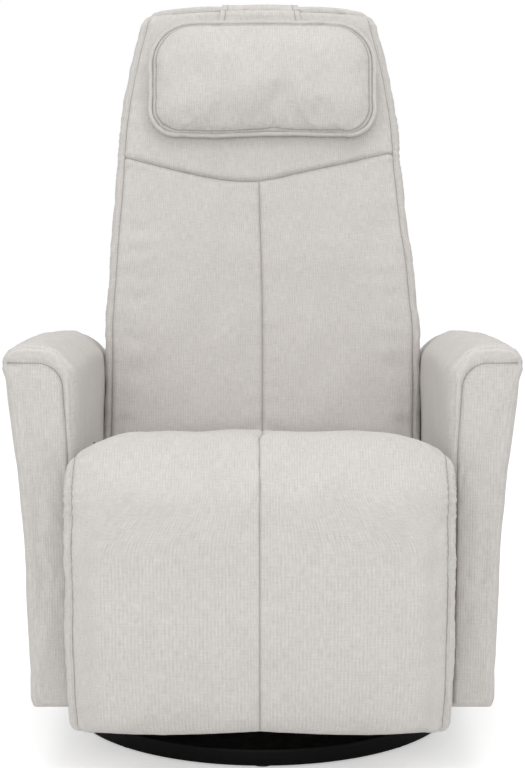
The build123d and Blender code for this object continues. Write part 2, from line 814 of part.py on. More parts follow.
def make_back_frame():
    for name, side in sides:
        with BuildPart() as stile:
            with BuildSketch(back_plane.offset(-frame_half_thick)):
                Polygon(
                    (side * stile_foot_half, stile_foot),
                    (side * stile_top_half, stile_top),
                    (side * (stile_top_half - stile_width), stile_top),
                    (side * (stile_foot_half - stile_width), stile_foot),
                    align=None,
                )
            extrude(amount=2 * frame_half_thick)
            with BuildSketch(along(side * (stile_foot_half - back_pin_depth))):
                with Locations((back_pivot_y, back_pivot_z)):
                    Circle(back_pin_radius + run_gap)
            extrude(amount=side * back_pin_depth, mode=Mode.SUBTRACT)
        save(stile, f"back_stile_{name}")

    for name, low in (("bottom", stile_foot), ("top", stile_top - back_rail_height)):
        high = low + back_rail_height
        low_half = stile_outer(low) - stile_width
        high_half = stile_outer(high) - stile_width
        with BuildPart() as rail:
            with BuildSketch(back_plane.offset(-frame_half_thick)):
                Polygon((-low_half, low), (low_half, low), (high_half, high), (-high_half, high), align=None)
            extrude(amount=2 * frame_half_thick)
        save(rail, f"back_rail_{name}")

    with BuildPart() as webbing:
        with BuildSketch(back_plane.offset(frame_half_thick)):
            for number in range(webbing_count):
                height = webbing_start + number * webbing_pitch
                with Locations((0, height)):
                    Rectangle(2 * (stile_outer(height) - stile_width / 4), webbing_width)
        extrude(amount=webbing_thick)
    save(webbing, "back_webbing")


def make_back_padding():
    outline = back_outline()
    front_axis = Axis(back_plane.origin, back_plane.z_dir)
    frame_foot = stile_outer(wrap_foot) + frame_cover_gap
    frame_top = stile_top_half + frame_cover_gap
    with BuildPart() as back_cushion:
        with BuildSketch(back_plane.offset(cushion_rear_face)):
            add(outline)
        extrude(amount=back_front - cushion_rear_face)
        fillet(back_cushion.faces().sort_by(front_axis)[-1].edges(), back_cushion_front_radius)
        with BuildSketch(back_plane.offset(-frame_half_thick)):
            add(outline)
            with Locations((0, wrap_foot)):
                Rectangle(2 * arm_gap, 2 * arm_gap, align=(Align.CENTER, Align.MAX), mode=Mode.SUBTRACT)
            Polygon(
                (-frame_foot, wrap_foot),
                (frame_foot, wrap_foot),
                (frame_top, stile_top + frame_cover_gap),
                (-frame_top, stile_top + frame_cover_gap),
                align=None,
                mode=Mode.SUBTRACT,
            )
        extrude(amount=frame_half_thick + cushion_rear_face)
    save(back_cushion, "back_cushion")

    with BuildPart() as back_panel:
        with BuildSketch(back_plane.offset(-panel_face)):
            add(back_outline(back_panel_inset))
            with Locations((0, wrap_foot)):
                Rectangle(2 * arm_gap, 2 * arm_gap, align=(Align.CENTER, Align.MAX), mode=Mode.SUBTRACT)
            with Locations((0, stile_foot)):
                Rectangle(2 * stile_foot_half, wrap_foot - stile_foot, align=(Align.CENTER, Align.MIN))
        extrude(amount=-back_panel_thick)
    save(back_panel, "back_panel")


def make_back_hinge():
    for name, side in sides:
        with BuildPart() as bracket:
            with BuildSketch(along(side * carriage_inner)):
                with Locations((back_pivot_y, back_pivot_z)):
                    Circle(bracket_eye_radius)
                with Locations((back_pivot_y, rail_bottom + carriage_overlap / 2)):
                    Rectangle(bracket_width, carriage_overlap)
                make_hull()
                with Locations((back_pivot_y, back_pivot_z)):
                    Circle(back_pin_radius + press_gap, mode=Mode.SUBTRACT)
            extrude(amount=side * bracket_thick)
        save(bracket, f"back_bracket_{name}")

    with BuildPart() as back_pins:
        for _, side in sides:
            for start, stop, radius in (
                (stile_foot_half - back_pin_depth + seat_gap, rail_inner, back_pin_radius),
                (rail_inner, rail_inner + bolt_head, pivot_head_radius),
            ):
                with BuildSketch(along(side * start)):
                    with Locations((back_pivot_y, back_pivot_z)):
                        Circle(radius)
                extrude(amount=side * (stop - start))
    save(back_pins, "back_pins")


# ---- head pillow, strap and counterweight ----------------------------------------------------
def make_headrest():
    with BuildPart() as strap:
        inside_width = back_front + back_rear + 2 * strap_gap
        inside_top = back_top + back_crown + strap_gap
        inside_foot = min(strap_front_end, strap_rear_end) - 2 * (strap_corner + strap_thick)
        middle = ((back_rear - back_front) / 2, (inside_top + inside_foot) / 2)
        with BuildSketch(back_side_plane.offset(-strap_width / 2)):
            with Locations(middle):
                RectangleRounded(
                    inside_width + 2 * strap_thick,
                    inside_top - inside_foot + 2 * strap_thick,
                    strap_corner + strap_thick,
                )
                RectangleRounded(
                    inside_width, inside_top - inside_foot, strap_corner, mode=Mode.SUBTRACT
                )
            for end, align in ((strap_front_end, Align.MAX), (strap_rear_end, Align.MIN)):
                with Locations((middle[0], end)):
                    Rectangle(inside_width, inside_width, align=(align, Align.MAX), mode=Mode.SUBTRACT)
        extrude(amount=strap_width)
    save(strap, "headrest_strap")

    front_axis = Axis(back_plane.origin, back_plane.z_dir)
    with BuildPart() as pillow:
        with BuildSketch(back_plane.offset(pillow_back)):
            with Locations((0, pillow_middle)):
                RectangleRounded(pillow_width, pillow_height, pillow_corner)
        extrude(amount=pillow_thick)
        fillet(pillow.faces().sort_by(front_axis)[-1].edges(), pillow_edge)
    save(pillow, "head_pillow")

    cavity_thick = weight_thick - 2 * weight_skin
    with BuildPart() as pouch:
        with BuildSketch(back_plane.offset(-pouch_face)):
            with Locations((0, weight_middle)):
                RectangleRounded(weight_width, weight_height, side_plate_corner)
        extrude(amount=-weight_thick)
        with BuildSketch(back_plane.offset(-pouch_face - weight_skin)):
            with Locations((0, weight_middle + weight_skin)):
                Rectangle(weight_width - 2 * weight_skin, weight_height)
        extrude(amount=-cavity_thick, mode=Mode.SUBTRACT)
    save(pouch, "counterweight_pouch")

    with BuildPart() as plate:
        with BuildSketch(back_plane.offset(-pouch_face - weight_skin - strap_gap / 2)):
            with Locations((0, weight_middle - weight_height / 2 + 2 * weight_skin + plate_height / 2)):
                RectangleRounded(plate_width, plate_height, side_plate_corner)
        extrude(amount=-(cavity_thick - strap_gap))
    save(plate, "counterweight_plate")


# ---- release lever ---------------------------------------------------------------------------
def make_release_lever():
    """A flat handle in the slot between the right seat rail and the right arm."""
    lever_face = rail_outer + (spacer_thick - lever_thick) / 2
    with BuildPart() as lever:
        with BuildSketch(along(-lever_face)):
            with Locations((lever_pivot_y, lever_pivot_z + lever_length / 2)):
                SlotCenterToCenter(lever_length, lever_width, rotation=90)
            with Locations((lever_pivot_y, lever_pivot_z)):
                Circle(lever_pin_radius + run_gap, mode=Mode.SUBTRACT)
        extrude(amount=-lever_thick)
    save(lever, "release_lever")

    with BuildPart() as lever_pin:
        pin_start = rail_outer - rail_thick * lever_pin_share + seat_gap
        with BuildSketch(along(-pin_start)):
            with Locations((lever_pivot_y, lever_pivot_z)):
                Circle(lever_pin_radius)
        extrude(amount=-(arm_inner - seat_gap - pin_start))
    save(lever_pin, "release_lever_pin")


make_base()
make_bearing()
make_hangers()
make_links()
make_carriage()
make_seat_frame()
make_seat_springs()
make_seat_padding()
make_arms()
make_arm_fasteners()
make_rear_valance()
make_footrest_hinge()
make_footrest()
make_back_frame()
make_back_padding()
make_back_hinge()
make_headrest()
make_release_lever()
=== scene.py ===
import json
from math import cos, pi, radians, sin, tan

import bmesh
import bpy
import numpy as np
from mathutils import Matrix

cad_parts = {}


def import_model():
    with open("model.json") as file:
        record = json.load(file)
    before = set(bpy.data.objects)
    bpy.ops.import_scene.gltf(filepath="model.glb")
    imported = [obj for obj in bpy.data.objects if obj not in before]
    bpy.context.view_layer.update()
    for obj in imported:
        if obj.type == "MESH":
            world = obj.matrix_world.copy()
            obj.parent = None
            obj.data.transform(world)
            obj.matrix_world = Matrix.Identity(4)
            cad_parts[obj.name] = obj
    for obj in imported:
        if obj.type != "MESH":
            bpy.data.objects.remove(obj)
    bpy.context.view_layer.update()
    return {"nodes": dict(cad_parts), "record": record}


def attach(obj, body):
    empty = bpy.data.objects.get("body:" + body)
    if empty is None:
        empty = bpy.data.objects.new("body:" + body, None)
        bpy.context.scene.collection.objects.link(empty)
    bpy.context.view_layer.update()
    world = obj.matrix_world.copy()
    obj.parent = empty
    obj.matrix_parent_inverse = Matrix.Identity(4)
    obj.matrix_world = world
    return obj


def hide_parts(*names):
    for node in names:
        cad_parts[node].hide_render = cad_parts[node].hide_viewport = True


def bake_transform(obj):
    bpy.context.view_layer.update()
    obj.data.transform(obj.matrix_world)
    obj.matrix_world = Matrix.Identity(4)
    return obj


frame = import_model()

# Metres. The chair faces -Y, +X is the sitter's left and +Z is up.
BACK_PIVOT = np.array([0.0, 0.186, 0.350])
BACK_TILT = radians(16)
BACK_UP = np.array([0.0, sin(BACK_TILT), cos(BACK_TILT)])
BACK_FRONT = np.array([0.0, -cos(BACK_TILT), sin(BACK_TILT)])
KNEE_Y, KNEE_Z, KNEE_RADIUS = -0.335, 0.408, 0.086
SEAT_TILT = radians(11.5)
ARM_IN, ARM_FOOT, ARM_TOP = 0.257, 0.092, 0.588
ARM_FRONT, ARM_REAR = -0.310, 0.299
BACK_FOOT, BACK_TOP = -0.025, 0.7505  # heights along the back, from its pivot
TOP_BOW = 0.0075  # how much lower the back's top is at its corners
CORNER = 0.031
V_LEVEL = 0.4955  # where the pointed seam meets the back's sides
PILLOW_RIM = 0.1088  # the head pillow's corded rim, in front of the back's pivot plane
FAR = 1.0  # a seam distance that draws nothing


# ---- surfaces --------------------------------------------------------------------------------
def ease(share):
    """0 below 0, 1 above 1, and 3s^2 - 2s^3 in between."""
    share = np.clip(share, 0.0, 1.0)
    return share * share * (3 - 2 * share)


def bell(distance, width):
    """1 at no distance, falling off as e to the minus (distance / width) squared."""
    return np.exp(-((distance / width) ** 2))


def round_in(depth, radius):
    """How far a quarter round of this radius has drawn in, at this depth from the end it closes."""
    near = np.clip(1 - np.asarray(depth, float) / radius, 0.0, 1.0)
    return radius * (1 - np.sqrt(1 - near**2))


def along_line(points, share):
    """Points at these shares of a broken line's length."""
    points = np.asarray(points, float)
    length = length_along(points)
    share = np.asarray(share, float) * length[-1]
    return np.stack([np.interp(share, length, column) for column in points.T], axis=-1)


def smooth_line(points, count):
    """A natural-looking curve through a few points: cubic steps with each slope taken from the
    point before to the point after."""
    points = np.asarray(points, float)
    slope = np.gradient(points, axis=0)
    place = np.linspace(0, len(points) - 1, count)
    step = np.minimum(place.astype(int), len(points) - 2)
    t = (place - step)[:, None]
    a, b, da, db = points[step], points[step + 1], slope[step], slope[step + 1]
    return (
        a * (1 + 2 * t) * (1 - t) ** 2 + da * t * (1 - t) ** 2
        + b * t**2 * (3 - 2 * t) + db * t**2 * (t - 1)
    )


def wander(across, along, seed, step):
    """Soft irregular waves between -1 and 1: six sines whose directions, lengths near step and
    phases come from a seeded list."""
    rng = np.random.default_rng(seed)
    total = 0.0
    for _ in range(6):
        turn, length, phase = rng.uniform(0, pi), step * rng.uniform(0.7, 1.7), rng.uniform(0, 2 * pi)
        total = total + np.sin(2 * pi * (across * cos(turn) + along * sin(turn)) / length + phase)
    return total / 3.2


def mesh_piece(name, points, faces, corners=None, marks=None):
    """A piece from points, quads and, for each corner of each quad, its place on the cloth."""
    mesh = bpy.data.meshes.new(name)
    mesh.from_pydata(points.tolist(), [], faces.tolist())
    if corners is not None:
        layer = mesh.uv_layers.new(name="cloth")
        layer.data.foreach_set("uv", np.asarray(corners, np.float32).ravel())
    for mark, values in (marks or {}).items():
        attribute = mesh.attributes.new(mark, "FLOAT", "POINT")
        attribute.data.foreach_set("value", np.asarray(values, np.float32).ravel())
    mesh.polygons.foreach_set("use_smooth", np.ones(len(faces), bool))
    mesh.update()
    piece = bpy.data.objects.new(name, mesh)
    bpy.context.scene.collection.objects.link(piece)
    return piece


def face_out(piece):
    """Closes coincident points and turns every face outwards."""
    shell = bmesh.new()
    shell.from_mesh(piece.data)
    bmesh.ops.remove_doubles(shell, verts=shell.verts, dist=1e-6)
    bmesh.ops.recalc_face_normals(shell, faces=shell.faces)
    shell.to_mesh(piece.data)
    shell.free()
    return piece


def quads_of(ids):
    """The quads of a grid of point numbers."""
    return np.stack([ids[:-1, :-1], ids[:-1, 1:], ids[1:, 1:], ids[1:, :-1]], -1).reshape(-1, 4)


def length_along(points):
    """How far each point of a line is from its start, walked along the line."""
    return np.concatenate([[0], np.cumsum(np.linalg.norm(np.diff(points, axis=0), axis=1))])


def girth(rings):
    """The walk round the middle ring and back to its start."""
    ring = rings[len(rings) // 2]
    return length_along(np.vstack([ring, ring[:1]]))


def bag(name, rings, top, wall, around, along, marks=None, ribs_along=True):
    """A closed bag from rings of cloth. Ring r has top points, then wall, then top, then wall,
    like a box's section, and the two ends are closed by Coons patches: the mean of the two
    straight blends between facing sides, less the blend of the corners. around gives each
    column's place on the cloth (one more than the columns), along gives each row's."""
    rows, columns = rings.shape[:2]
    index = np.arange(rows * columns).reshape(rows, columns)
    right = np.roll(index, -1, axis=1)
    quads = np.stack([index[:-1], right[:-1], right[1:], index[1:]], axis=-1).reshape(-1, 4)
    around = np.broadcast_to(around, (rows, columns + 1))
    along = np.broadcast_to(np.reshape(along, (rows, -1)), (rows, columns))
    near = np.stack([around[:, :-1], along], -1)
    far = np.stack([around[:, 1:], np.roll(along, -1, axis=1)], -1)
    corners = np.stack([near[:-1], far[:-1], far[1:], near[1:]], axis=2).reshape(-1, 2)
    if not ribs_along:
        corners = corners[:, ::-1]
    points = [rings.reshape(-1, 3)]
    faces, uv = [quads], [corners]
    total = rows * columns
    extra = {
        mark: [np.broadcast_to(values, (rows, columns)).ravel()] for mark, values in (marks or {}).items()
    }
    for row in (0, rows - 1):
        ring = rings[row]
        first = np.arange(0, top + 1)
        side_b = np.arange(top, top + wall + 1)
        second = np.arange(2 * top + wall, top + wall - 1, -1)
        side_a = np.concatenate([[0], np.arange(columns - 1, 2 * top + wall - 1, -1)])
        s = np.linspace(0, 1, top + 1)[None, :, None]
        t = np.linspace(0, 1, wall + 1)[:, None, None]
        a, b = ring[first][None], ring[second][None]
        c, d = ring[side_a][:, None], ring[side_b][:, None]
        patch = (
            (1 - t) * a + t * b + (1 - s) * c + s * d
            - (1 - s) * (1 - t) * ring[0] - s * (1 - t) * ring[top]
            - s * t * ring[top + wall] - (1 - s) * t * ring[2 * top + wall]
        )
        ids = np.empty((wall + 1, top + 1), int)
        ids[0], ids[-1] = index[row][first], index[row][second]
        ids[:, 0], ids[:, -1] = index[row][side_a], index[row][side_b]
        inner = (wall - 1) * (top - 1)
        ids[1:-1, 1:-1] = total + np.arange(inner).reshape(wall - 1, top - 1)
        points.append(patch[1:-1, 1:-1].reshape(-1, 3))
        total += inner
        for mark in extra:
            extra[mark].append(np.full(inner, 0.0))
        cap = quads_of(ids)
        faces.append(cap)
        flat = np.concatenate(points)
        normal_axis = np.argmin(np.ptp(patch.reshape(-1, 3), axis=0))
        keep = [axis for axis in range(3) if axis != normal_axis]
        uv.append(flat[cap.reshape(-1)][:, keep])
    joined = {mark: np.concatenate(values) for mark, values in extra.items()}
    piece = mesh_piece(name, np.concatenate(points), np.concatenate(faces), np.concatenate(uv), joined)
    return face_out(piece)


def round_pillow(name, outline, height_front, height_rear, place, steps):
    """A pillow of two faces that meet on an outline. A square grid is drawn onto the outline: a
    point's distance from the middle is the larger of its two grid shares, and its direction is
    the outline point that the same share of the square's edge reaches. Each face rises from the
    outline by its own height, a function of that distance and of the place. place turns (across,
    up, out) into the row frame."""
    share = np.linspace(-1, 1, steps + 1)
    gx, gy = np.meshgrid(share, share)
    reach = np.maximum(np.abs(gx), np.abs(gy))
    safe = np.where(reach > 0, reach, 1)
    ex, ey = gx / safe, gy / safe
    edge = np.where(
        (ey <= -1 + 1e-9), (ex + 1) / 2, np.where(
            ex >= 1 - 1e-9, 1 + (ey + 1) / 2, np.where(ey >= 1 - 1e-9, 2 + (1 - ex) / 2, 3 + (1 - ey) / 2)
        )
    ) / 4 % 1.0
    rim = along_line(np.vstack([outline, outline[:1]]), edge.ravel()).reshape(*edge.shape, 2)
    middle = (outline.max(0) + outline.min(0)) / 2
    flat = middle + (rim - middle) * reach[..., None]
    front = place(flat[..., 0], flat[..., 1], height_front(reach, flat[..., 0], flat[..., 1]))
    rear = place(flat[..., 0], flat[..., 1], height_rear(reach, flat[..., 0], flat[..., 1]))
    count = front.shape[0] * front.shape[1]
    ids = np.arange(count).reshape(front.shape[:2])
    quads = quads_of(ids)
    points = np.concatenate([front.reshape(-1, 3), rear.reshape(-1, 3)])
    flat_uv = np.concatenate([flat.reshape(-1, 2), flat.reshape(-1, 2) + [1.3, 0.7]])
    faces = np.concatenate([quads, quads[:, ::-1] + count])
    marks = {"reach": np.concatenate([reach.ravel(), reach.ravel()])}
    piece = mesh_piece(name, points, faces, flat_uv[faces.reshape(-1)], marks)
    return face_out(piece)


def ring_cord(name, path, radius, sides):
    """A cord on a closed path: at each point a circle across the path, its two directions
    carried from the path's own run and a steady guide."""
    count = len(path)
    run = np.roll(path, -1, axis=0) - np.roll(path, 1, axis=0)
    run /= np.linalg.norm(run, axis=1)[:, None]
    guide = np.array([0.31, 0.87, 0.38])
    side = np.cross(run, guide)
    side /= np.linalg.norm(side, axis=1)[:, None]
    other = np.cross(side, run)
    angle = np.linspace(0, 2 * pi, sides, endpoint=False)[None, :, None]
    ring = path[:, None] + radius * (np.cos(angle) * side[:, None] + np.sin(angle) * other[:, None])
    ids = np.arange(count * sides).reshape(count, sides)
    turn = np.roll(ids, -1, axis=1)
    quads = np.stack([ids, turn, np.roll(turn, -1, axis=0), np.roll(ids, -1, axis=0)], -1).reshape(-1, 4)
    length = length_along(path)
    u = np.arange(sides + 1) * (2 * pi * radius / sides)
    v = np.append(length, length[-1] + np.linalg.norm(path[0] - path[-1]))
    place = np.stack(np.broadcast_arrays(u[None], v[:, None]), -1)
    uv = np.stack([place[:-1, :-1], place[:-1, 1:], place[1:, 1:], place[1:, :-1]], axis=2).reshape(-1, 2)
    return face_out(mesh_piece(name, ring.reshape(-1, 3), quads, uv))


# ---- cloth -----------------------------------------------------------------------------------
def coordinates(mesh):
    """Every point's place, as rows of three."""
    flat = np.empty(len(mesh.vertices) * 3, np.float32)
    mesh.vertices.foreach_get("co", flat)
    return flat.reshape(-1, 3).astype(float)


def normals(mesh):
    """Every point's outward direction, as rows of three."""
    flat = np.empty(len(mesh.vertices) * 3, np.float32)
    mesh.vertex_normals.foreach_get("vector", flat)
    return flat.reshape(-1, 3).astype(float)


def mark_of(mesh, name):
    """A value kept at every point."""
    flat = np.empty(len(mesh.vertices), np.float32)
    mesh.attributes[name].data.foreach_get("value", flat)
    return flat.astype(float)


def put(mesh, points):
    """Moves every point to its new place."""
    mesh.vertices.foreach_set("co", points.astype(np.float32).ravel())
    mesh.update()


def stuff(piece, held, pressure=3.5, most=0.008, spare=0.02, frames=14):
    """Lets the stuffing swell the cover: Blender's cloth under pressure, with gravity off, its
    seams held, and the cover cut a little larger than its form so that it puckers beside them.
    A point moves by most * tanh(distance / most), so none goes further than most."""
    mesh = piece.data
    before = coordinates(mesh)
    group = piece.vertex_groups.new(name="held")
    held = np.clip(held, 0, 1)
    for index in np.flatnonzero(held > 0.02):
        group.add([int(index)], float(held[index]), "REPLACE")
    modifier = piece.modifiers.new("stuffing", "CLOTH")
    settings = modifier.settings
    settings.quality = 6
    settings.mass = 0.3
    settings.tension_stiffness = settings.compression_stiffness = 12
    settings.shear_stiffness = 6
    settings.bending_stiffness = 0.4
    settings.tension_damping = settings.compression_damping = 12
    settings.air_damping = 3
    settings.use_pressure = True
    settings.uniform_pressure_force = pressure
    settings.shrink_min = -spare
    settings.vertex_group_mass = "held"
    settings.pin_stiffness = 1.0
    settings.effector_weights.gravity = 0
    modifier.collision_settings.use_collision = False
    modifier.collision_settings.use_self_collision = False
    scene = bpy.context.scene
    modifier.point_cache.frame_start = 1
    modifier.point_cache.frame_end = frames
    for number in range(1, frames + 1):
        scene.frame_set(number)
    ready = piece.evaluated_get(bpy.context.evaluated_depsgraph_get())
    after = coordinates(ready.data)
    piece.modifiers.remove(modifier)
    scene.frame_set(1)
    piece.vertex_groups.clear()
    move = after - before
    distance = np.linalg.norm(move, axis=1)
    most = np.broadcast_to(most, distance.shape)
    limit = np.where(distance > 1e-9, most * np.tanh(distance / most) / np.maximum(distance, 1e-9), 0)
    put(mesh, before + move * limit[:, None])


def settle(piece):
    """Works the piece's modifiers into its mesh and clears them."""
    graph = bpy.context.evaluated_depsgraph_get()
    ready = piece.evaluated_get(graph)
    mesh = bpy.data.meshes.new_from_object(ready, preserve_all_data_layers=True, depsgraph=graph)
    piece.modifiers.clear()
    old = piece.data
    piece.data = mesh
    bpy.data.meshes.remove(old)
    mesh.name = piece.name
    mesh.polygons.foreach_set("use_smooth", np.ones(len(mesh.polygons), bool))
    return piece


def finer(piece):
    """Applies one subdivision, so that seams can be pressed into a closer mesh."""
    modifier = piece.modifiers.new("finer", "SUBSURF")
    modifier.levels = modifier.render_levels = 1
    return settle(piece)


def lay_over(piece, cover, clear):
    """Lifts each point of a band that lies in or under a cover to the nearest point of that
    cover's face plus clear."""
    wrap = piece.modifiers.new("lie", "SHRINKWRAP")
    wrap.target, wrap.offset = cover, clear
    wrap.wrap_method, wrap.wrap_mode = "NEAREST_SURFACEPOINT", "OUTSIDE"
    return settle(piece)


def press(piece, out, *gaps):
    """Moves each point along its own normal by out, and keeps up to three signed distances from seams, in
    metres, from which the cloth's material paints shade along the seams."""
    mesh = piece.data
    put(mesh, coordinates(mesh) + normals(mesh) * out[:, None])
    for name, gap in zip(("seam_a", "seam_b", "seam_c"), list(gaps) + [None] * 3):
        gap = np.full(len(mesh.vertices), FAR) if gap is None else gap
        attribute = mesh.attributes.get(name) or mesh.attributes.new(name, "FLOAT", "POINT")
        attribute.data.foreach_set("value", gap.astype(np.float32))


def seam_line(distance, along, depth, seed, pucker=0.0006, roll=0.0010, width=0.0026):
    """How far a seam moves the cloth: in by depth times a bell across it, out by roll in a soft
    ridge 9 mm to each side, and puckers that run across it, sines of the length along the seam
    with a wandering phase, dying away over 12 mm."""
    phase = 2.2 * wander(along, along * 0, seed, 0.09)
    waves = np.sin(2 * pi * along / 0.0125 + phase) * (0.6 + 0.4 * wander(along, along * 0, seed + 1, 0.14))
    return (
        -depth * bell(distance, width)
        + roll * bell(np.abs(distance) - 0.009, 0.006)
        + pucker * waves * bell(distance, 0.012) * (1 - 0.6 * bell(distance, 0.003))
    )


# ---- seat, knee roll and footrest pad: one upholstered run -----------------------------------
def seat_height(y):
    """The height of the seat's top at a depth: a plane that touches the knee roll."""
    return KNEE_Z + KNEE_RADIUS / cos(SEAT_TILT) - (y - KNEE_Y) * tan(SEAT_TILT)


def cushion_columns(half, reach, flats):
    """Places across from the middle to the shoulder: close steps beside the centre seam, then
    even ones."""
    near = np.array([0, 0.0025, 0.006, 0.0105, 0.017])
    fixed = (half - reach)[:, None]
    even = near[-1] + (fixed - near[-1]) * np.linspace(0, 1, flats)[None, 1:]
    return np.hstack([np.broadcast_to(near, (len(half), 5)), even]), fixed


def whole_ring(side, top_half, sign):
    """A ring from its right half: the top from left to right, down, and back underneath."""
    return np.hstack([side[:, top_half::-1], sign * side[:, 1:-1], side[:, :top_half:-1]])


def make_chaise():
    """The run's side view is two curves walked together: outer, along the seat's top, round the
    knee and down the footrest's bulged front; inner, along their undersides. Each ring goes
    across the chair: flat in the middle, an elliptical shoulder of half width times the shoulder
    reach, a straight side, and a small round below. The ends are drawn in by quarter rounds."""
    rear = 0.094
    cushion, bore, board = 0.100, 0.0146, -0.3352
    knee = np.array([KNEE_Y, KNEE_Z])
    turn = np.linspace(pi / 2 - SEAT_TILT, pi, 24)
    knee_out = knee + KNEE_RADIUS * np.stack([np.cos(turn), np.sin(turn)], -1)
    seat_out = np.array([[rear, seat_height(rear)], knee_out[0]])
    shin_out = smooth_line(
        [(-0.421, KNEE_Z), (-0.4205, 0.330), (-0.4160, 0.240), (-0.4055, 0.150), (-0.386, 0.0765)], 60
    )
    thick, lip = cushion / cos(SEAT_TILT), -0.285
    seat_in = np.array([
        [rear, seat_height(rear) - thick], [lip, seat_height(lip) - thick], knee + [0.004, bore],
    ])
    turn = np.linspace(pi / 2 - 0.25, pi, 8)
    knee_in = knee + bore * np.stack([np.cos(turn), np.sin(turn)], -1)
    shin_in = np.array([[-0.3496, KNEE_Z], [-0.3496, 0.396], [board, 0.390], [board, 0.100], [-0.350, 0.0765]])
    outer, inner = [
        np.concatenate([along_line(line, np.linspace(0, 1, count + 1))[skip:] for line, count, skip in zip(
            lines, (50, 24, 42), (0, 1, 1)
        )])
        for lines in ((seat_out, knee_out, shin_out), (seat_in, knee_in, shin_in))
    ]
    walked = length_along(outer)
    extra = np.array([0.0012, 0.0035])
    length = np.unique(np.concatenate([walked, extra, walked[-1] - extra]))
    outer, inner = [
        np.stack([np.interp(length, walked, line[:, k]) for k in range(2)], -1) for line in (outer, inner)
    ]
    across_run = outer - inner
    depth = np.linalg.norm(across_run, axis=1)
    across_run /= depth[:, None]
    from_rear, from_foot = length, length[-1] - length
    draw = round_in(from_rear, 0.024) + round_in(from_foot, 0.011)
    depth_y, height = outer.T
    half = 0.2485 + 0.0055 * ease((-0.22 - depth_y) / 0.09) + 0.0125 * ease((-0.300 - depth_y) / 0.066)
    low = np.clip((0.21 - height) / 0.13, 0, 1) * (depth_y < -0.3)
    half = half - 0.002 * low**2 - np.minimum(draw, 0.9 * draw + 0.001)
    top_depth = depth - draw
    rise = 0.92 * draw
    on_shin = ease((0.440 - height) / 0.10) * (depth_y < -0.35)
    reach = 0.100 - 0.057 * on_shin
    drop = 0.068 - 0.034 * on_shin
    room = np.maximum(top_depth - rise, 0.006)
    drop = np.minimum(drop, 0.62 * room)
    foot = np.minimum(0.012, 0.3 * room)
    seam_in = 0.0095
    seam_angle = np.arccos(1 - seam_in / reach)
    flat_x, fixed = cushion_columns(half, reach, 18)
    seam_share = 1 - (1 - np.linspace(0, 1, 11)[1:]) ** 1.15
    angle = np.hstack([
        pi / 2 - (pi / 2 - seam_angle)[:, None] * seam_share[None],
        seam_angle[:, None] * (1 - np.linspace(0, 1, 6)[None, 1:]),
    ])
    top_x = np.hstack([flat_x, fixed + reach[:, None] * np.cos(angle)])
    top_h = np.hstack([
        np.broadcast_to(top_depth[:, None], flat_x.shape),
        top_depth[:, None] - drop[:, None] * (1 - np.sin(angle)),
    ])
    top_half = top_x.shape[1] - 1
    wall = 6
    wall_share = np.linspace(0, 1, wall + 1)[None, 1:]
    wall_top, wall_low = (top_depth - drop)[:, None], (rise + foot)[:, None]
    wall_x = np.broadcast_to(half[:, None], (len(half), wall))
    wall_h = wall_top + (wall_low - wall_top) * wall_share
    corner = np.linspace(0, pi / 2, 5)[None, 1:]
    low_x = (half - foot)[:, None] + foot[:, None] * np.cos(corner)
    low_h = (rise + foot)[:, None] - foot[:, None] * np.sin(corner)
    base_x = (half - foot)[:, None] * (1 - np.linspace(0, 1, top_half - 4 + 1)[None, 1:])
    base_h = np.broadcast_to(rise[:, None], base_x.shape)
    side_x = np.hstack([top_x, wall_x, low_x, base_x])
    side_h = np.hstack([top_h, wall_h, low_h, base_h])
    ring_x, ring_h = whole_ring(side_x, top_half, -1), whole_ring(side_h, top_half, 1)
    on_top = (np.arange(ring_x.shape[1]) <= 2 * top_half).astype(float)
    scallop = 0.0055 * (1 - np.abs(np.sin(pi * ring_x / 0.262))) * ease((0.2 - from_foot[:, None]) / 0.2)
    sway = 0.0018 * wander(ring_x, length[:, None], 3, 0.16) * on_top
    ring_h = ring_h + sway * np.clip(ring_h / 0.05, 0, 1)
    base = inner[:, None] + ring_h[..., None] * across_run[:, None]
    lean = -0.0035 * ease((-0.30 - outer[:, :1]) / 0.05)
    rings = np.stack([ring_x + lean, base[..., 0], base[..., 1] + scallop * (outer[:, :1] < -0.33)], -1)
    around = girth(rings)
    around -= around[top_half]
    marks = {
        "centre": np.where(on_top > 0, ring_x, 0.2),
        "side": np.where(on_top > 0, np.abs(ring_x) - (half - seam_in)[:, None], 0.05),
        "run": length[:, None], "upper": on_top,
    }
    return bag("chaise_cover", rings, 2 * top_half, wall, around, length, marks)


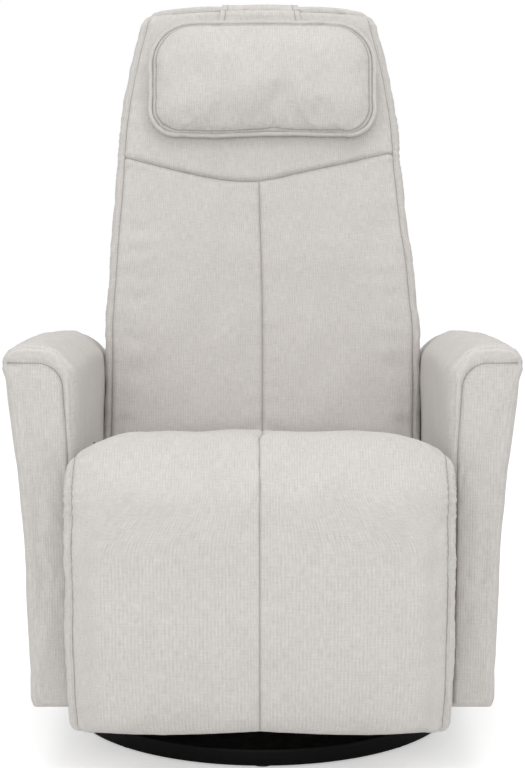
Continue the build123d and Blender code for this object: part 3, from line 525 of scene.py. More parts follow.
def finish_chaise(chaise):
    """Swells the run between its seams, sets the seat's top back down by 2.6 mm, and sews the
    centre seam and the two side seams, which start at the knee. run is the walk from the rear:
    the knee is half a metre along."""
    mesh = chaise.data
    centre, side, run = mark_of(mesh, "centre"), mark_of(mesh, "side"), mark_of(mesh, "run")
    points = coordinates(mesh)
    inside = 1 - mark_of(mesh, "upper")
    rear_end = ease((0.035 - run) / 0.02)
    held = np.maximum.reduce([0.25 * bell(centre, 0.002), bell(side, 0.0025), inside, rear_end])
    most = 0.0026 + 0.0034 * ease((0.235 - np.abs(points[:, 0])) / 0.06)
    stuff(chaise, held, pressure=3.0, most=most, spare=0.012)
    sit = 0.0026 * (1 - inside) * ease((points[:, 2] - 0.42) / 0.05)
    put(mesh, coordinates(mesh) - normals(mesh) * sit[:, None])
    finer(chaise)
    mesh = chaise.data
    centre, side, run = mark_of(mesh, "centre"), mark_of(mesh, "side"), mark_of(mesh, "run")
    upper = ease((mark_of(mesh, "upper") - 0.5) / 0.4)
    points = coordinates(mesh)
    knee = bell(run - 0.52, 0.10)
    shown = ease((run - 0.43) / 0.07)
    out = upper * (
        seam_line(centre, run, 0.0015, 11, pucker=0.0003 + 0.0003 * knee, roll=0.0003, width=0.0018)
        + shown * seam_line(side, run, 0.0042, 21, pucker=0.0007 + 0.0016 * knee, roll=0.0010)
        + (1 - shown) * seam_line(side, run, 0.0007, 22, pucker=0.0002, roll=0.0)
    )
    out += upper * 0.0009 * wander(points[:, 0], run, 31, 0.085)
    press(chaise, out, np.where(upper > 0.5, centre, FAR), np.where(upper > 0.5, side, FAR))


# ---- back ------------------------------------------------------------------------------------
def back_place(across, up, out):
    """A point in the back's own directions, in the row frame."""
    return (
        BACK_PIVOT + np.asarray(up)[..., None] * BACK_UP + np.asarray(out)[..., None] * BACK_FRONT
        + np.asarray(across)[..., None] * np.array([1.0, 0, 0])
    )


def in_back(mesh):
    """Every point's place across, up and out from the back's pivot."""
    local = coordinates(mesh) - BACK_PIVOT
    return local[:, 0], local @ BACK_UP, local @ BACK_FRONT


HALF_UP = np.array([-0.025, 0.205, 0.451, 0.590, 0.742])
HALF_WIDTH = np.array([0.253, 0.253, 0.2325, 0.2205, 0.1895])


def back_half(up):
    """Half the back's width at each height: a curve through the widths at its foot, above the
    arms, and at its top corners."""
    line = smooth_line(np.stack([HALF_UP, HALF_WIDTH], -1), 400)
    half = np.interp(up, line[:, 0], line[:, 1])
    return np.where(up < 0.205, 0.253, half)


def back_lean(up):
    """The cover sits up to 6 mm off centre towards its top, as sewn covers do."""
    return -0.0062 * ease((up - 0.20) / 0.32)


V_ACROSS = np.array([-0.2275, -0.2047, -0.0974, -0.0114, 0.0682, 0.1511, 0.2113])
V_UP = np.array([0.4945, 0.4885, 0.4605, 0.4505, 0.4655, 0.4840, 0.4985])


def make_back():
    """Each ring goes across the back at one height: a crowned front between the two side seams,
    straight boxed sides, wings beside the timber frame, and a hollow between them. On the front
    the rows sag towards the pointed seam, by its depth times a bell of the height from it. The
    top is closed by quarter rounds, front and rear, and by round corners 31 mm wide."""
    seam_in = 0.009
    foot_rows = BACK_FOOT + np.array([0.0, 0.0015, 0.005])
    top_rows = BACK_TOP - np.array([0.0, 0.0015, 0.004, 0.0075, 0.0105, 0.0135, 0.018, 0.024])
    body = np.linspace(BACK_FOOT + 0.012, 0.440, 50)
    above = np.array([0, 0.0022, 0.005, 0.009, 0.015, 0.023])
    near_v = V_LEVEL + np.concatenate([[-0.042, -0.032], -above[:0:-1], above])
    upper = np.linspace(0.530, BACK_TOP - CORNER, 21)
    level = np.unique(np.concatenate([foot_rows, body, near_v, upper, top_rows]))
    from_top, from_foot = BACK_TOP - level, level - BACK_FOOT
    half = back_half(level) - round_in(from_top, CORNER) - round_in(from_foot, 0.010)
    front = 0.085 - round_in(from_top, 0.024) - round_in(from_foot, 0.014)
    ends = round_in(from_top, 0.012) + round_in(from_foot, 0.008)
    hollow = 0.0147 - 0.0262 * ease((level - 0.696) / 0.008) + ends
    wing = np.maximum(0.0147 - 0.0262 * ease((level - 0.064) / 0.010) + ends, -0.0118)
    frame_edge = np.minimum(0.2235 - (level + 0.020) / 0.712 * 0.046, half - 0.008)
    reach, drop, crown = 0.040, 0.022, 0.006
    flat_x, fixed = cushion_columns(half, reach, 18)
    seam_angle = np.arccos(1 - seam_in / reach)
    angle = np.concatenate([
        pi / 2 - (pi / 2 - seam_angle) * np.linspace(0, 1, 8)[1:], seam_angle * (1 - np.linspace(0, 1, 5)[1:]),
    ])[None]
    top_x = np.hstack([flat_x, fixed + reach * np.cos(angle)])
    top_f = np.hstack([front[:, None] + 0 * flat_x, front[:, None] - drop * (1 - np.sin(angle)) + 0 * fixed])
    top_half = top_x.shape[1] - 1
    wall = 9
    share = np.linspace(0, 1, wall + 1)[None, 1:]
    low = wing[:, None]
    wall_x = np.broadcast_to(half[:, None], (len(half), wall)) - 0.004 * share**6
    wall_f = (front - drop)[:, None] * (1 - share) + low * share
    wings, steps = 4, 3
    wing_share = np.linspace(0, 1, wings + 1)[None, 1:]
    wing_x = half[:, None] - 0.004 + (frame_edge - half + 0.004)[:, None] * wing_share
    wing_f = np.broadcast_to(low, wing_x.shape)
    step_x = np.broadcast_to(frame_edge[:, None] - 0.001, (len(half), steps))
    step_f = low + (hollow[:, None] - low) * np.linspace(0, 1, steps + 1)[None, 1:]
    remaining = top_half - wings - steps
    base_x = step_x[:, -1:] * (1 - np.linspace(0, 1, remaining + 1)[None, 1:])
    base_f = np.broadcast_to(hollow[:, None], base_x.shape)
    side_x = np.hstack([top_x, wall_x, wing_x, step_x, base_x])
    side_f = np.hstack([top_f, wall_f, wing_f, step_f, base_f])
    ring_x, ring_f = whole_ring(side_x, top_half, -1), whole_ring(side_f, top_half, 1)
    on_front = (np.arange(ring_x.shape[1]) <= 2 * top_half).astype(float)
    point = smooth_line(np.stack([V_ACROSS, V_UP], -1), 60)
    v_line = np.interp(ring_x, point[:, 0], point[:, 1])
    level_y, half_y = level[:, None], half[:, None]
    span = np.where(level_y < V_LEVEL, 0.24, 0.16)
    sag = (v_line - V_LEVEL) * np.clip(1 - ((level_y - V_LEVEL) / span) ** 2, 0, 1) ** 2 * on_front
    top_bow = TOP_BOW * (ring_x / 0.187) ** 2 * ease((level_y - 0.60) / 0.15)
    level_x = level_y + sag - top_bow
    fullness = crown * np.clip(1 - (np.abs(ring_x) / half_y) ** 2.6, 0, 1)
    fullness = fullness * np.clip(from_top[:, None] / 0.10, 0, 1)
    lumbar = 0.003 * bell(level_y - 0.20, 0.13)
    ring_f = ring_f + on_front * (fullness + lumbar * np.clip(1 - (ring_x / half_y) ** 4, 0, 1))
    ring_f = np.minimum(ring_f, 0.0905)
    rings = back_place(ring_x + back_lean(level_x), level_x, ring_f)
    seam_x = np.abs(ring_x) - (half_y - seam_in)
    marks = {
        "centre": np.where(on_front > 0, ring_x, 0.3),
        "side": np.where(on_front > 0, seam_x, np.where(np.abs(ring_x) > half_y - 0.006, 0.05, 0.2)),
        "vee": np.where(on_front > 0, level_y - V_LEVEL, 0.3),
        "run": level_x, "out": ring_f, "upper": on_front,
    }
    around = girth(rings)
    around -= around[top_half]
    back = bag("back_cover", rings, 2 * top_half, wall, around, level_x, marks)
    mesh = back.data
    across, up, out = in_back(mesh)
    held = np.maximum.reduce([
        bell(mark_of(mesh, "side"), 0.003), bell(mark_of(mesh, "centre"), 0.002) * (up < 0.452),
        bell(mark_of(mesh, "vee"), 0.002), (out < 0.02).astype(float), ease((0.045 - up) / 0.03),
        ease((up - BACK_TOP + 0.012) / 0.01),
    ])
    most = 0.0026 + 0.0040 * ease((0.19 - np.abs(across)) / 0.06)
    stuff(back, held, pressure=2.4, most=most, spare=0.012)
    finer(back)
    mesh = back.data
    across, up, out = in_back(mesh)
    across = across - back_lean(up)
    upper = ease((mark_of(mesh, "upper") - 0.4) / 0.4)
    side, centre, vee = mark_of(mesh, "side"), mark_of(mesh, "centre"), mark_of(mesh, "vee")
    edge = back_half(up) - round_in(BACK_TOP - up, CORNER) - np.abs(across)
    top_gap = BACK_TOP - TOP_BOW * (across / 0.187) ** 2 - up
    seam_d = np.where(up > BACK_TOP - 0.12, -(np.minimum(edge, top_gap) - seam_in - 0.001), side)
    seam_d = np.where(upper > 0.5, seam_d, 0.3)
    below = ease((-0.003 - vee) / 0.01)
    rear_edge = (np.abs(across) > back_half(up) - 0.02) & (up > 0.075)
    rear_welt = bell(out + 0.006, 0.0030) * rear_edge
    off_edge = ease((np.abs(edge) - 0.006) / 0.006)
    grooves = (
        upper * seam_line(seam_d, up, 0.0042, 41, pucker=0.0007, roll=0.0014)
        + upper * seam_line(vee, across, 0.0030, 51, pucker=0.0007, roll=0.0012, width=0.0028) * off_edge
        + upper * below * seam_line(centre, up, 0.0020, 61, pucker=0.0004, roll=0.0006, width=0.0024)
    )
    def crease(depth, place, height, spread, tall, slant, seed, pitch):
        wave = np.sin(2 * pi * (up + slant * across + 0.011 * wander(across, up, seed, 0.09)) / pitch)
        return depth * upper * bell(across - place, spread) * bell(up - height, tall) * wave
    creases = crease(0.0008, 0.180, 0.405, 0.040, 0.075, 0.16, 71, 0.027)
    creases = creases * (0.6 + 0.5 * wander(across, up, 74, 0.06))
    creases += crease(0.0005, -0.185, 0.33, 0.035, 0.08, -0.12, 72, 0.031)
    waves = 0.0012 * upper * wander(across, up, 73, 0.11)
    front_face = upper > 0.5
    press(
        back, grooves + creases + waves - 0.0022 * rear_welt,
        np.where(front_face & (vee < -0.001), centre, FAR),
        np.where(front_face, seam_d, np.where(rear_edge, out + 0.006, FAR)),
        np.where(front_face & (edge > 0.0085), vee, FAR),
    )
    return back


def make_back_rear():
    """The rear panel: the back's outline drawn in by 12 mm, 7 mm thick, its face rising by one
    part in the eighth power of the distance from the edge, so that it is flat with rolled rims."""
    up = np.linspace(-0.018, BACK_TOP - 0.012, 130)
    half = back_half(up) - 0.012 - round_in(BACK_TOP - 0.012 - up, 0.040) - round_in(up + 0.018, 0.004)
    half = np.where(up < 0.062, np.minimum(half, 0.2215), half)
    outline = np.vstack([np.stack([-half, up], -1), np.stack([half, up], -1)[::-1]])
    def outside(reach, across, high):
        return -0.0130 - 0.0062 * (1 - reach**16) - 0.0004 * wander(across, high, 81, 0.12) * (1 - reach**8)
    def inside(reach, across, high):
        return -0.0130 + 0.0003 * (1 - reach**2)
    panel = round_pillow("back_rear_cover", outline, outside, inside, back_place, 84)
    across, up, out = in_back(panel.data)
    rear = out < -0.0131
    edge = back_half(up) - 0.012 - np.abs(across)
    ring = np.minimum(edge, BACK_TOP - 0.012 - up) - 0.011
    cross = up - 0.128
    out = rear * (seam_line(ring, up + across, 0.0012, 82, pucker=0.0003, roll=0.0002)
                  + seam_line(cross, across, 0.0014, 83, pucker=0.0003, roll=0.0002) * (edge > 0.012))
    press(
        panel, np.minimum(out, 0.0004), np.where(rear, ring, FAR),
        np.where(rear & (edge > 0.011), cross, FAR),
    )
    return panel


# ---- head pillow and counterweight -----------------------------------------------------------
def rounded_outline(half_width, low, high, low_radius, high_radius, sag=0.0):
    """A rounded rectangle with its own radius for the lower and the upper corners. It starts
    half way round the lower left corner and goes by the lower edge, which sags by a cosine."""
    turn = np.linspace(0, pi / 2, 16)
    def corner(cx, cy, radius, start):
        return np.stack([cx + radius * np.cos(start + turn), cy + radius * np.sin(start + turn)], -1)
    lower = np.linspace(-half_width + low_radius, half_width - low_radius, 40)[1:-1]
    drop = -sag * np.cos(pi * lower / (2 * half_width)) + 0.0016 * wander(lower, lower * 0, 5, 0.12)
    upper = np.linspace(half_width - high_radius, -half_width + high_radius, 30)[1:-1]
    outline = np.vstack([
        corner(-half_width + low_radius, low + low_radius, low_radius, pi),
        np.stack([lower, low + drop], -1),
        corner(half_width - low_radius, low + low_radius, low_radius, 3 * pi / 2),
        corner(half_width - high_radius, high - high_radius, high_radius, 0),
        np.stack([upper, high + 0.002 * np.cos(pi * upper / (2 * half_width))], -1),
        corner(-half_width + high_radius, high - high_radius, high_radius, pi / 2),
    ])
    return np.roll(outline, -len(turn) // 2, axis=0)


def make_head_pillow():
    """Two panels on one corded outline. The front rises by 1 less reach to the power 2.6, that
    to the power 0.6; the rear is nearly flat. Two dents and small puckers sit by the cord."""
    rim_out = PILLOW_RIM - 0.0003
    outline = rounded_outline(0.1800, 0.5235, 0.7065, 0.042, 0.064, sag=-0.002)
    def front(reach, across, up):
        full = np.clip(1 - reach**2.6, 0, 1) ** 0.60
        return rim_out + 0.0330 * full + 0.0011 * wander(across, up, 91, 0.07) * full
    def rear(reach, across, up):
        return rim_out - 0.0195 * np.clip(1 - reach**5, 0, 1) ** 0.6
    pillow = round_pillow("head_pillow_cover", outline, front, rear, back_place, 56)
    reach = mark_of(pillow.data, "reach")
    stuff(pillow, ease((reach - 0.94) / 0.05), pressure=2.5, most=0.0045, spare=0.02)
    finer(pillow)
    reach = mark_of(pillow.data, "reach")
    across, up, out = in_back(pillow.data)
    around = np.arctan2(up - 0.613, across) * 0.15
    front_side = out > PILLOW_RIM
    edge = (1 - reach) * 0.095
    pinch = bell(edge - 0.005, 0.0042) * front_side
    pucker = np.sin(2 * pi * around / 0.0170 + 3.0 * wander(around, around * 0, 93, 0.08))
    pucker = pucker * bell(edge - 0.006, 0.0045)
    dents = bell(across - 0.018, 0.012) + 0.8 * bell(across + 0.150, 0.014)
    deep = 0.0035 * dents * bell(up - 0.533, 0.016) * front_side
    swell = 0.0010 * wander(across, up, 94, 0.075) * front_side * ease(edge / 0.03)
    moved = -0.0016 * pinch + 0.0003 * pucker * front_side - deep + swell
    press(pillow, moved, np.where(front_side, edge - 0.0035, FAR))
    rim = along_line(np.vstack([outline, outline[:1]]), np.linspace(0, 1, 260, endpoint=False))
    wave = 0.0005 * wander(rim[:, 0], rim[:, 1], 95, 0.03)
    away = rim - [0.0, 0.6135]
    away /= np.linalg.norm(away, axis=1)[:, None]
    rim = rim + away * (0.0014 + wave)[:, None]
    path = back_place(rim[:, 0], rim[:, 1], np.full(len(rim), PILLOW_RIM))
    return pillow, ring_cord("head_pillow_piping", path, 0.0036, 10)


def make_strap(cover):
    """A band from under the head pillow, up the front, over the top edge and down behind. Its
    width runs from 148 mm at the front end to 108 mm over the top and 118 mm behind. A point's
    place across is the share of that width, and the hems ride 0.6 mm higher. It is laid over
    the finished cover, and its length and area are measured from the laid band."""
    before, behind = 0.0915, -0.0216
    line = smooth_line([
        (0.560, before), (0.62, before), (0.68, before), (0.705, 0.0900), (0.722, 0.0850), (0.737, 0.0755),
        (0.7475, 0.0620), (0.7515, 0.0440), (0.7520, 0.0240), (0.7508, 0.0050), (0.7450, -0.0120),
        (0.7330, -0.0205), (0.71, behind), (0.66, behind), (0.60, behind), (0.538, behind),
    ], 120)
    length = length_along(line)
    half = np.interp(
        length, [0, 0.14, 0.19, 0.26, 0.32, length[-1]], [0.074, 0.073, 0.062, 0.054, 0.056, 0.059]
    )
    hem_steps = np.array([0.84, 0.86, 0.90, 0.965, 1])
    share = np.concatenate([-hem_steps[::-1], np.linspace(-0.74, 0.74, 15), hem_steps])
    across = half[:, None] * share[None] - 0.004
    hem = 0.0007 * (np.abs(share) > 0.85) - 0.0006 * bell(np.abs(share) - 0.85, 0.03)
    way = np.gradient(line, axis=0)
    way /= np.linalg.norm(way, axis=1)[:, None]
    lift = hem[None] + 0.0005 * wander(across, length[:, None], 97, 0.06)
    up = line[:, :1] + way[:, 1:] * lift
    out = line[:, 1:] - way[:, :1] * lift
    grid = back_place(across, up, out)
    rows, columns = grid.shape[:2]
    ids = np.arange(rows * columns).reshape(rows, columns)
    quads = quads_of(ids)
    uv = np.stack([across, np.broadcast_to(length[:, None], across.shape)], -1).reshape(-1, 2)
    # Distances from the hems, along which the cloth's material paints shade.
    gap = np.broadcast_to((np.abs(share) - 0.85) * 0.062, across.shape)
    strap = mesh_piece(
        "headrest_strap_cloth", grid.reshape(-1, 3), quads, uv[quads.reshape(-1)],
        {"seam_a": gap, "seam_b": gap * 0 + FAR, "seam_c": gap * 0 + FAR},
    )
    lay_over(strap, cover, 0.0019)
    laid = coordinates(strap.data).reshape(rows, columns, 3)
    steps = np.linalg.norm(np.diff(laid, axis=0), axis=2)
    widths = np.linalg.norm(np.diff(laid, axis=1), axis=2).sum(1)
    area = float(np.sum(steps.mean(1) * (widths[1:] + widths[:-1]) / 2))
    thick = strap.modifiers.new("thickness", "SOLIDIFY")
    thick.thickness, thick.offset = 0.0020, 0
    return strap, (0.148, float(steps[:, columns // 2].sum())), area


def make_pouch():
    """A flat pocket behind the back that holds the counterweight: its faces rise by 1 less
    reach to the power 7 behind and 10 before, those to the power one half. A flap closes it."""
    outline, rim_out = rounded_outline(0.0665, 0.4215, 0.5685, 0.012, 0.012), -0.0322
    def behind(reach, across, up):
        return rim_out - 0.0090 * np.clip(1 - reach**7, 0, 1) ** 0.5
    def before(reach, across, up):
        return rim_out + 0.0084 * np.clip(1 - reach**10, 0, 1) ** 0.5
    pouch = round_pillow("counterweight_pouch_cover", outline, behind, before, back_place, 30)
    finer(pouch)
    _, up, out = in_back(pouch.data)
    edge = (1 - mark_of(pouch.data, "reach")) * 0.07 - 0.007
    flap = up - 0.545
    rear = out < -0.033
    moved = rear * (-0.0012 * bell(edge, 0.0022) - 0.0014 * bell(flap, 0.0022))
    press(pouch, moved, np.where(rear, edge, FAR), np.where(rear, flap, FAR))
    return pouch


# ---- arms ------------------------------------------------------------------------------------
def arm_out(z):
    """The arm's outer face at a height: its foot, plus a lean that grows as the share of the
    height to the power 2.3."""
    share = np.clip((z - ARM_FOOT) / (ARM_TOP - ARM_FOOT), 0, 1)
    return ARM_IN + 0.072 + 0.031 * share**2.3


def arm_edge(deep):
    """The height of the arm's top edges at a depth: 2 percent of the way back, and 0.14 of its
    square, below the front."""
    back = deep - ARM_FRONT
    return 0.5895 - 0.020 * back - 0.140 * back**2


def panel_gap(across, high):
    """Signed distance out from the arm's front panel, whose inner side runs at 270 mm and whose
    top is at the foot of the dome, with an inner corner 36 mm round. It is open outwards."""
    inner = 0.2695 + 0.0065 * ease((high - 0.44) / 0.12)
    radius = 0.036
    dx = inner + radius - across
    dz = high - (ARM_TOP + 0.0005 - radius)
    corner = np.hypot(np.maximum(dx, 0), np.maximum(dz, 0)) - radius
    return np.where((dx > 0) & (dz > 0), corner, np.maximum(dx, dz) - radius)


def make_arm(name, side):
    """Each ring goes round the arm at one depth: over the domed top, an arc that rises 26 mm,
    down the leaning outer face, under, and up the flat inner face. The top rounds over 12 mm
    lower on its inner side. Both ends are drawn in by quarter rounds, closed by their panels."""
    ends = np.array([0.0, 0.001, 0.003, 0.0065, 0.011, 0.0165])
    span, rounding, tuck = ARM_REAR - ARM_FRONT, 0.013, 0.012
    place = np.unique(np.concatenate([ends, np.linspace(0.026, span - 0.026, 56), span - ends]))
    draw = round_in(place, rounding) + round_in(span - place, rounding)
    dome, walls = 22, 46
    top = arm_edge(place + ARM_FRONT)
    s = np.linspace(0, 1, dome + 1)[None]
    outer_top = arm_out(top)[:, None] - draw[:, None] + 0.0022
    inner_top = ARM_IN + draw[:, None] + 0.0008
    dome_x = outer_top + (inner_top - outer_top) * s
    rise = np.clip(0.0255 - draw, 0.004, 1)[:, None]
    power, root = np.where(s < 0.5, 3.6, 2.6), np.where(s < 0.5, 0.70, 0.80)
    arch = np.clip(1 - np.abs(2 * s - 1) ** power, 0, 1) ** root
    dome_z = top[:, None] - 0.35 * draw[:, None] + rise * arch - tuck * s**3
    foot = ARM_FOOT + 0.001 + draw
    t = np.linspace(0, 1, walls + 1)[None]
    outer_z = (top - 0.35 * draw)[:, None] + (foot - top + 0.35 * draw)[:, None] * t
    inner_z = outer_z - tuck * (1 - t)
    bottom = 0.004 * ease((t - 0.985) / 0.015)
    inner_x = np.broadcast_to(inner_top, inner_z.shape) + bottom
    outer_x = arm_out(outer_z) - draw[:, None] + 0.0004 - bottom
    below = outer_z - top[:, None]
    outer_x = outer_x + 0.0018 * ease((below + 0.024) / 0.010) - 0.0012 * bell(below + 0.026, 0.006)
    base_x = inner_x[:, -1:] + (outer_x[:, -1:] - inner_x[:, -1:]) * s
    base_z = np.broadcast_to(foot[:, None], base_x.shape)
    ring_x = np.hstack([dome_x[:, :-1], inner_x[:, :-1], base_x[:, :-1], outer_x[:, :0:-1]])
    ring_z = np.hstack([dome_z[:, :-1], inner_z[:, :-1], base_z[:, :-1], outer_z[:, :0:-1]])
    ring_y = np.broadcast_to((ARM_FRONT + place)[:, None], ring_x.shape)
    rings = np.stack([side * ring_x, ring_y, ring_z], -1)
    arm = bag(name, rings, dome, walls, girth(rings), place, ribs_along=False)
    def from_middle():
        points = coordinates(arm.data)
        return side * points[:, 0], points[:, 1], points[:, 2]
    across, deep, high = from_middle()
    local_top = arm_edge(deep)
    held = np.maximum.reduce([
        (deep < ARM_FRONT + 0.0005) * bell(panel_gap(across, high), 0.006),
        ease((0.16 - high) / 0.05),
        bell(high - local_top, 0.008) * (across > 0.34),
    ])
    most = 0.0028 + 0.0032 * ease((high - local_top + 0.01) / 0.02)
    stuff(arm, held, pressure=2.6, most=most, spare=0.010)
    finer(arm)
    across, deep, high = from_middle()
    front = ease((ARM_FRONT + 0.0045 - deep) / 0.003)
    gap = panel_gap(across, high)
    strip = ease(gap / 0.006) * front * ease((high - 0.12) / 0.05)
    groove = seam_line(gap, high + across, 0.0040, 101, pucker=0.0004, roll=0.0006) * front
    local_top = arm_edge(deep)
    outer_face = across > 0.34
    piping = bell(high - local_top + 0.004, 0.0030) * outer_face * ease((deep - ARM_FRONT - 0.004) / 0.006)
    rear_gap = panel_gap(across, high + ARM_TOP - arm_edge(ARM_REAR))
    rear = ease((deep - ARM_REAR + 0.0045) / 0.003)
    rear_groove = seam_line(rear_gap, high + across, 0.0030, 103, pucker=0.0003, roll=0.0004) * rear
    wave = 0.0008 * wander(deep + across, high, 105, 0.11) * ease((0.58 - high) / 0.1)
    out = groove + 0.0016 * strip + rear_groove - 0.0022 * piping + wave
    between = outer_face & (deep > ARM_FRONT + 0.004) & (deep < ARM_REAR - 0.004)
    press(
        arm, out, np.where(front > 0.5, gap, FAR), np.where(rear > 0.5, rear_gap, FAR),
        np.where(between, high - local_top + 0.004, FAR),
    )
    return arm


# ---- rear panel of the seat ------------------------------------------------------------------
def make_valance():
    """A flat covered board between the arms, 8 mm thick, its two faces rising from its rim by
    one less reach to the power 14; two upright seams divide it in three."""
    outline = rounded_outline(0.2555, 0.1045, 0.3715, 0.008, 0.008)
    def place(across, up, out):
        return np.stack(np.broadcast_arrays(across, 0.266 + out, up), -1)
    def behind(reach, across, up):
        ripple = 0.0004 * wander(across, up, 111, 0.1) * (1 - reach**6)
        return 0.0036 * np.clip(1 - reach**14, 0, 1) ** 0.5 + ripple
    def before(reach, across, up):
        return -0.0036 * np.clip(1 - reach**14, 0, 1) ** 0.5
    panel = round_pillow("rear_valance_cover", outline, behind, before, place, 72)
    points = coordinates(panel.data)
    rear = points[:, 1] > 0.2665
    lines = np.abs(points[:, 0]) - 0.088
    hem = points[:, 2] - 0.122
    out = rear * (-0.0012 * bell(lines, 0.0028) - 0.0009 * bell(hem, 0.0024))
    press(panel, out, np.where(rear, lines - 0.0001, FAR), np.where(rear, hem, FAR))
    return panel


# ---- shader groups ---------------------------------------------------------------------------
class Wires:
    """Short words for placing and joining a tree's nodes."""

    def __init__(self, tree):
        self.tree = tree

    def node(self, kind, **facts):
        """A node with its settings; in_Name sets the input of that name."""
        made = self.tree.nodes.new(kind)
        for fact, value in facts.items():
            if fact.startswith("in_"):
                key = fact[3:]
                made.inputs[int(key) if key.isdigit() else key.replace("_", " ")].default_value = value
            else:
                setattr(made, fact, value)
        return made

    def join(self, start, end):
        self.tree.links.new(start, end)

    def sum(self, kind, *values):
        """Arithmetic on numbers and other nodes' values."""
        made = self.node("ShaderNodeMath", operation=kind)
        for socket, value in zip(made.inputs, values):
            self.give(value, socket)
        return made.outputs[0]

    def give(self, value, socket):
        """Sets a socket to a number or a colour, or joins another node's value to it."""
        if isinstance(value, (int, float)):
            socket.default_value = value
        elif isinstance(value, tuple):
            socket.default_value = (*value, 1.0)
        else:
            self.join(value, socket)

    def noise(self, vector, scale, detail=3.0, rough=0.5, stretch=None):
        """Noise from 0 to 1, drawn out by its own scale along each axis."""
        if stretch is not None:
            mapping = self.node("ShaderNodeMapping")
            mapping.inputs["Scale"].default_value = stretch
            self.join(vector, mapping.inputs["Vector"])
            vector = mapping.outputs[0]
        made = self.node("ShaderNodeTexNoise")
        made.inputs["Scale"].default_value = scale
        made.inputs["Detail"].default_value = detail
        made.inputs["Roughness"].default_value = rough
        self.join(vector, made.inputs["Vector"])
        return made.outputs[0]


def new_group(name, inputs, outputs):
    """A shader node group with named sockets, and its first and last nodes."""
    group = bpy.data.node_groups.new(name, "ShaderNodeTree")
    for label, kind, value in inputs:
        socket = group.interface.new_socket(name=label, in_out="INPUT", socket_type=kind)
        if value is not None:
            socket.default_value = value
    for label, kind in outputs:
        group.interface.new_socket(name=label, in_out="OUTPUT", socket_type=kind)
    wires = Wires(group)
    return group, wires, wires.node("NodeGroupInput"), wires.node("NodeGroupOutput")


def chenille_group():
    """Ribbed chenille: a sine across the ribs whose phase wanders with the yarn, a finer weft
    sine along them, slubs that are noise drawn out along and across the ribs, and fuzz. Tone is
    their mean round one half; Height adds ribs, weft, slubs and fuzz by their depths."""
    group, w, start, end = new_group(
        "chenille_weave",
        [("Place", "NodeSocketVector", None), ("Rib Pitch", "NodeSocketFloat", 0.0037),
         ("Rib", "NodeSocketFloat", 0.5), ("Slub", "NodeSocketFloat", 0.5), ("Fuzz", "NodeSocketFloat", 0.5)],
        [("Tone", "NodeSocketFloat"), ("Height", "NodeSocketFloat"), ("Blotch", "NodeSocketFloat")],
    )
    place = start.outputs["Place"]
    parts = w.node("ShaderNodeSeparateXYZ")
    w.join(place, parts.inputs[0])
    drift = w.noise(place, 1.0, 1.0, 0.5, (30.0, 0.5, 0.5))
    turns = w.sum("DIVIDE", 2 * pi, start.outputs["Rib Pitch"])
    phase = w.sum("MULTIPLY_ADD", parts.outputs["X"], turns, w.sum("MULTIPLY", drift, 6.0))
    rib = w.sum("SINE", phase)
    weft_drift = w.noise(place, 1.0, 1.0, 0.5, (0.7, 45.0, 45.0))
    weft_phase = w.sum("MULTIPLY_ADD", parts.outputs["Y"], 2 * pi / 0.0022, w.sum("MULTIPLY", weft_drift, 6.0))
    weft = w.sum("SINE", weft_phase)
    long_slub = w.noise(place, 1.0, 3.0, 0.6, (620.0, 60.0, 60.0))
    cross_slub = w.noise(place, 1.0, 3.0, 0.6, (75.0, 560.0, 75.0))
    fuzz = w.noise(place, 1.0, 4.0, 0.7, (1500.0, 1500.0, 1500.0))
    blotch = w.noise(place, 1.0, 2.0, 0.5, (24.0, 15.0, 20.0))
    slub = w.sum(
        "ADD", w.sum("MULTIPLY_ADD", long_slub, 1.1, -0.55), w.sum("MULTIPLY_ADD", cross_slub, 0.9, -0.45)
    )
    slub = w.sum("MULTIPLY", slub, start.outputs["Slub"])
    both = w.sum("MULTIPLY_ADD", weft, 0.04, w.sum("MULTIPLY", rib, 0.15))
    ribs = w.sum("MULTIPLY", both, start.outputs["Rib"])
    soft = w.sum("MULTIPLY", w.sum("SUBTRACT", fuzz, 0.5), start.outputs["Fuzz"])
    tone = w.sum("ADD", w.sum("ADD", ribs, slub), w.sum("MULTIPLY_ADD", soft, 0.5, 0.5))
    w.join(tone, end.inputs["Tone"])
    height = w.sum(
        "ADD", w.sum("MULTIPLY", ribs, 1.6),
        w.sum("ADD", w.sum("MULTIPLY", slub, 0.9), w.sum("MULTIPLY", soft, 0.6)),
    )
    w.join(height, end.inputs["Height"])
    w.join(blotch, end.inputs["Blotch"])
    return group


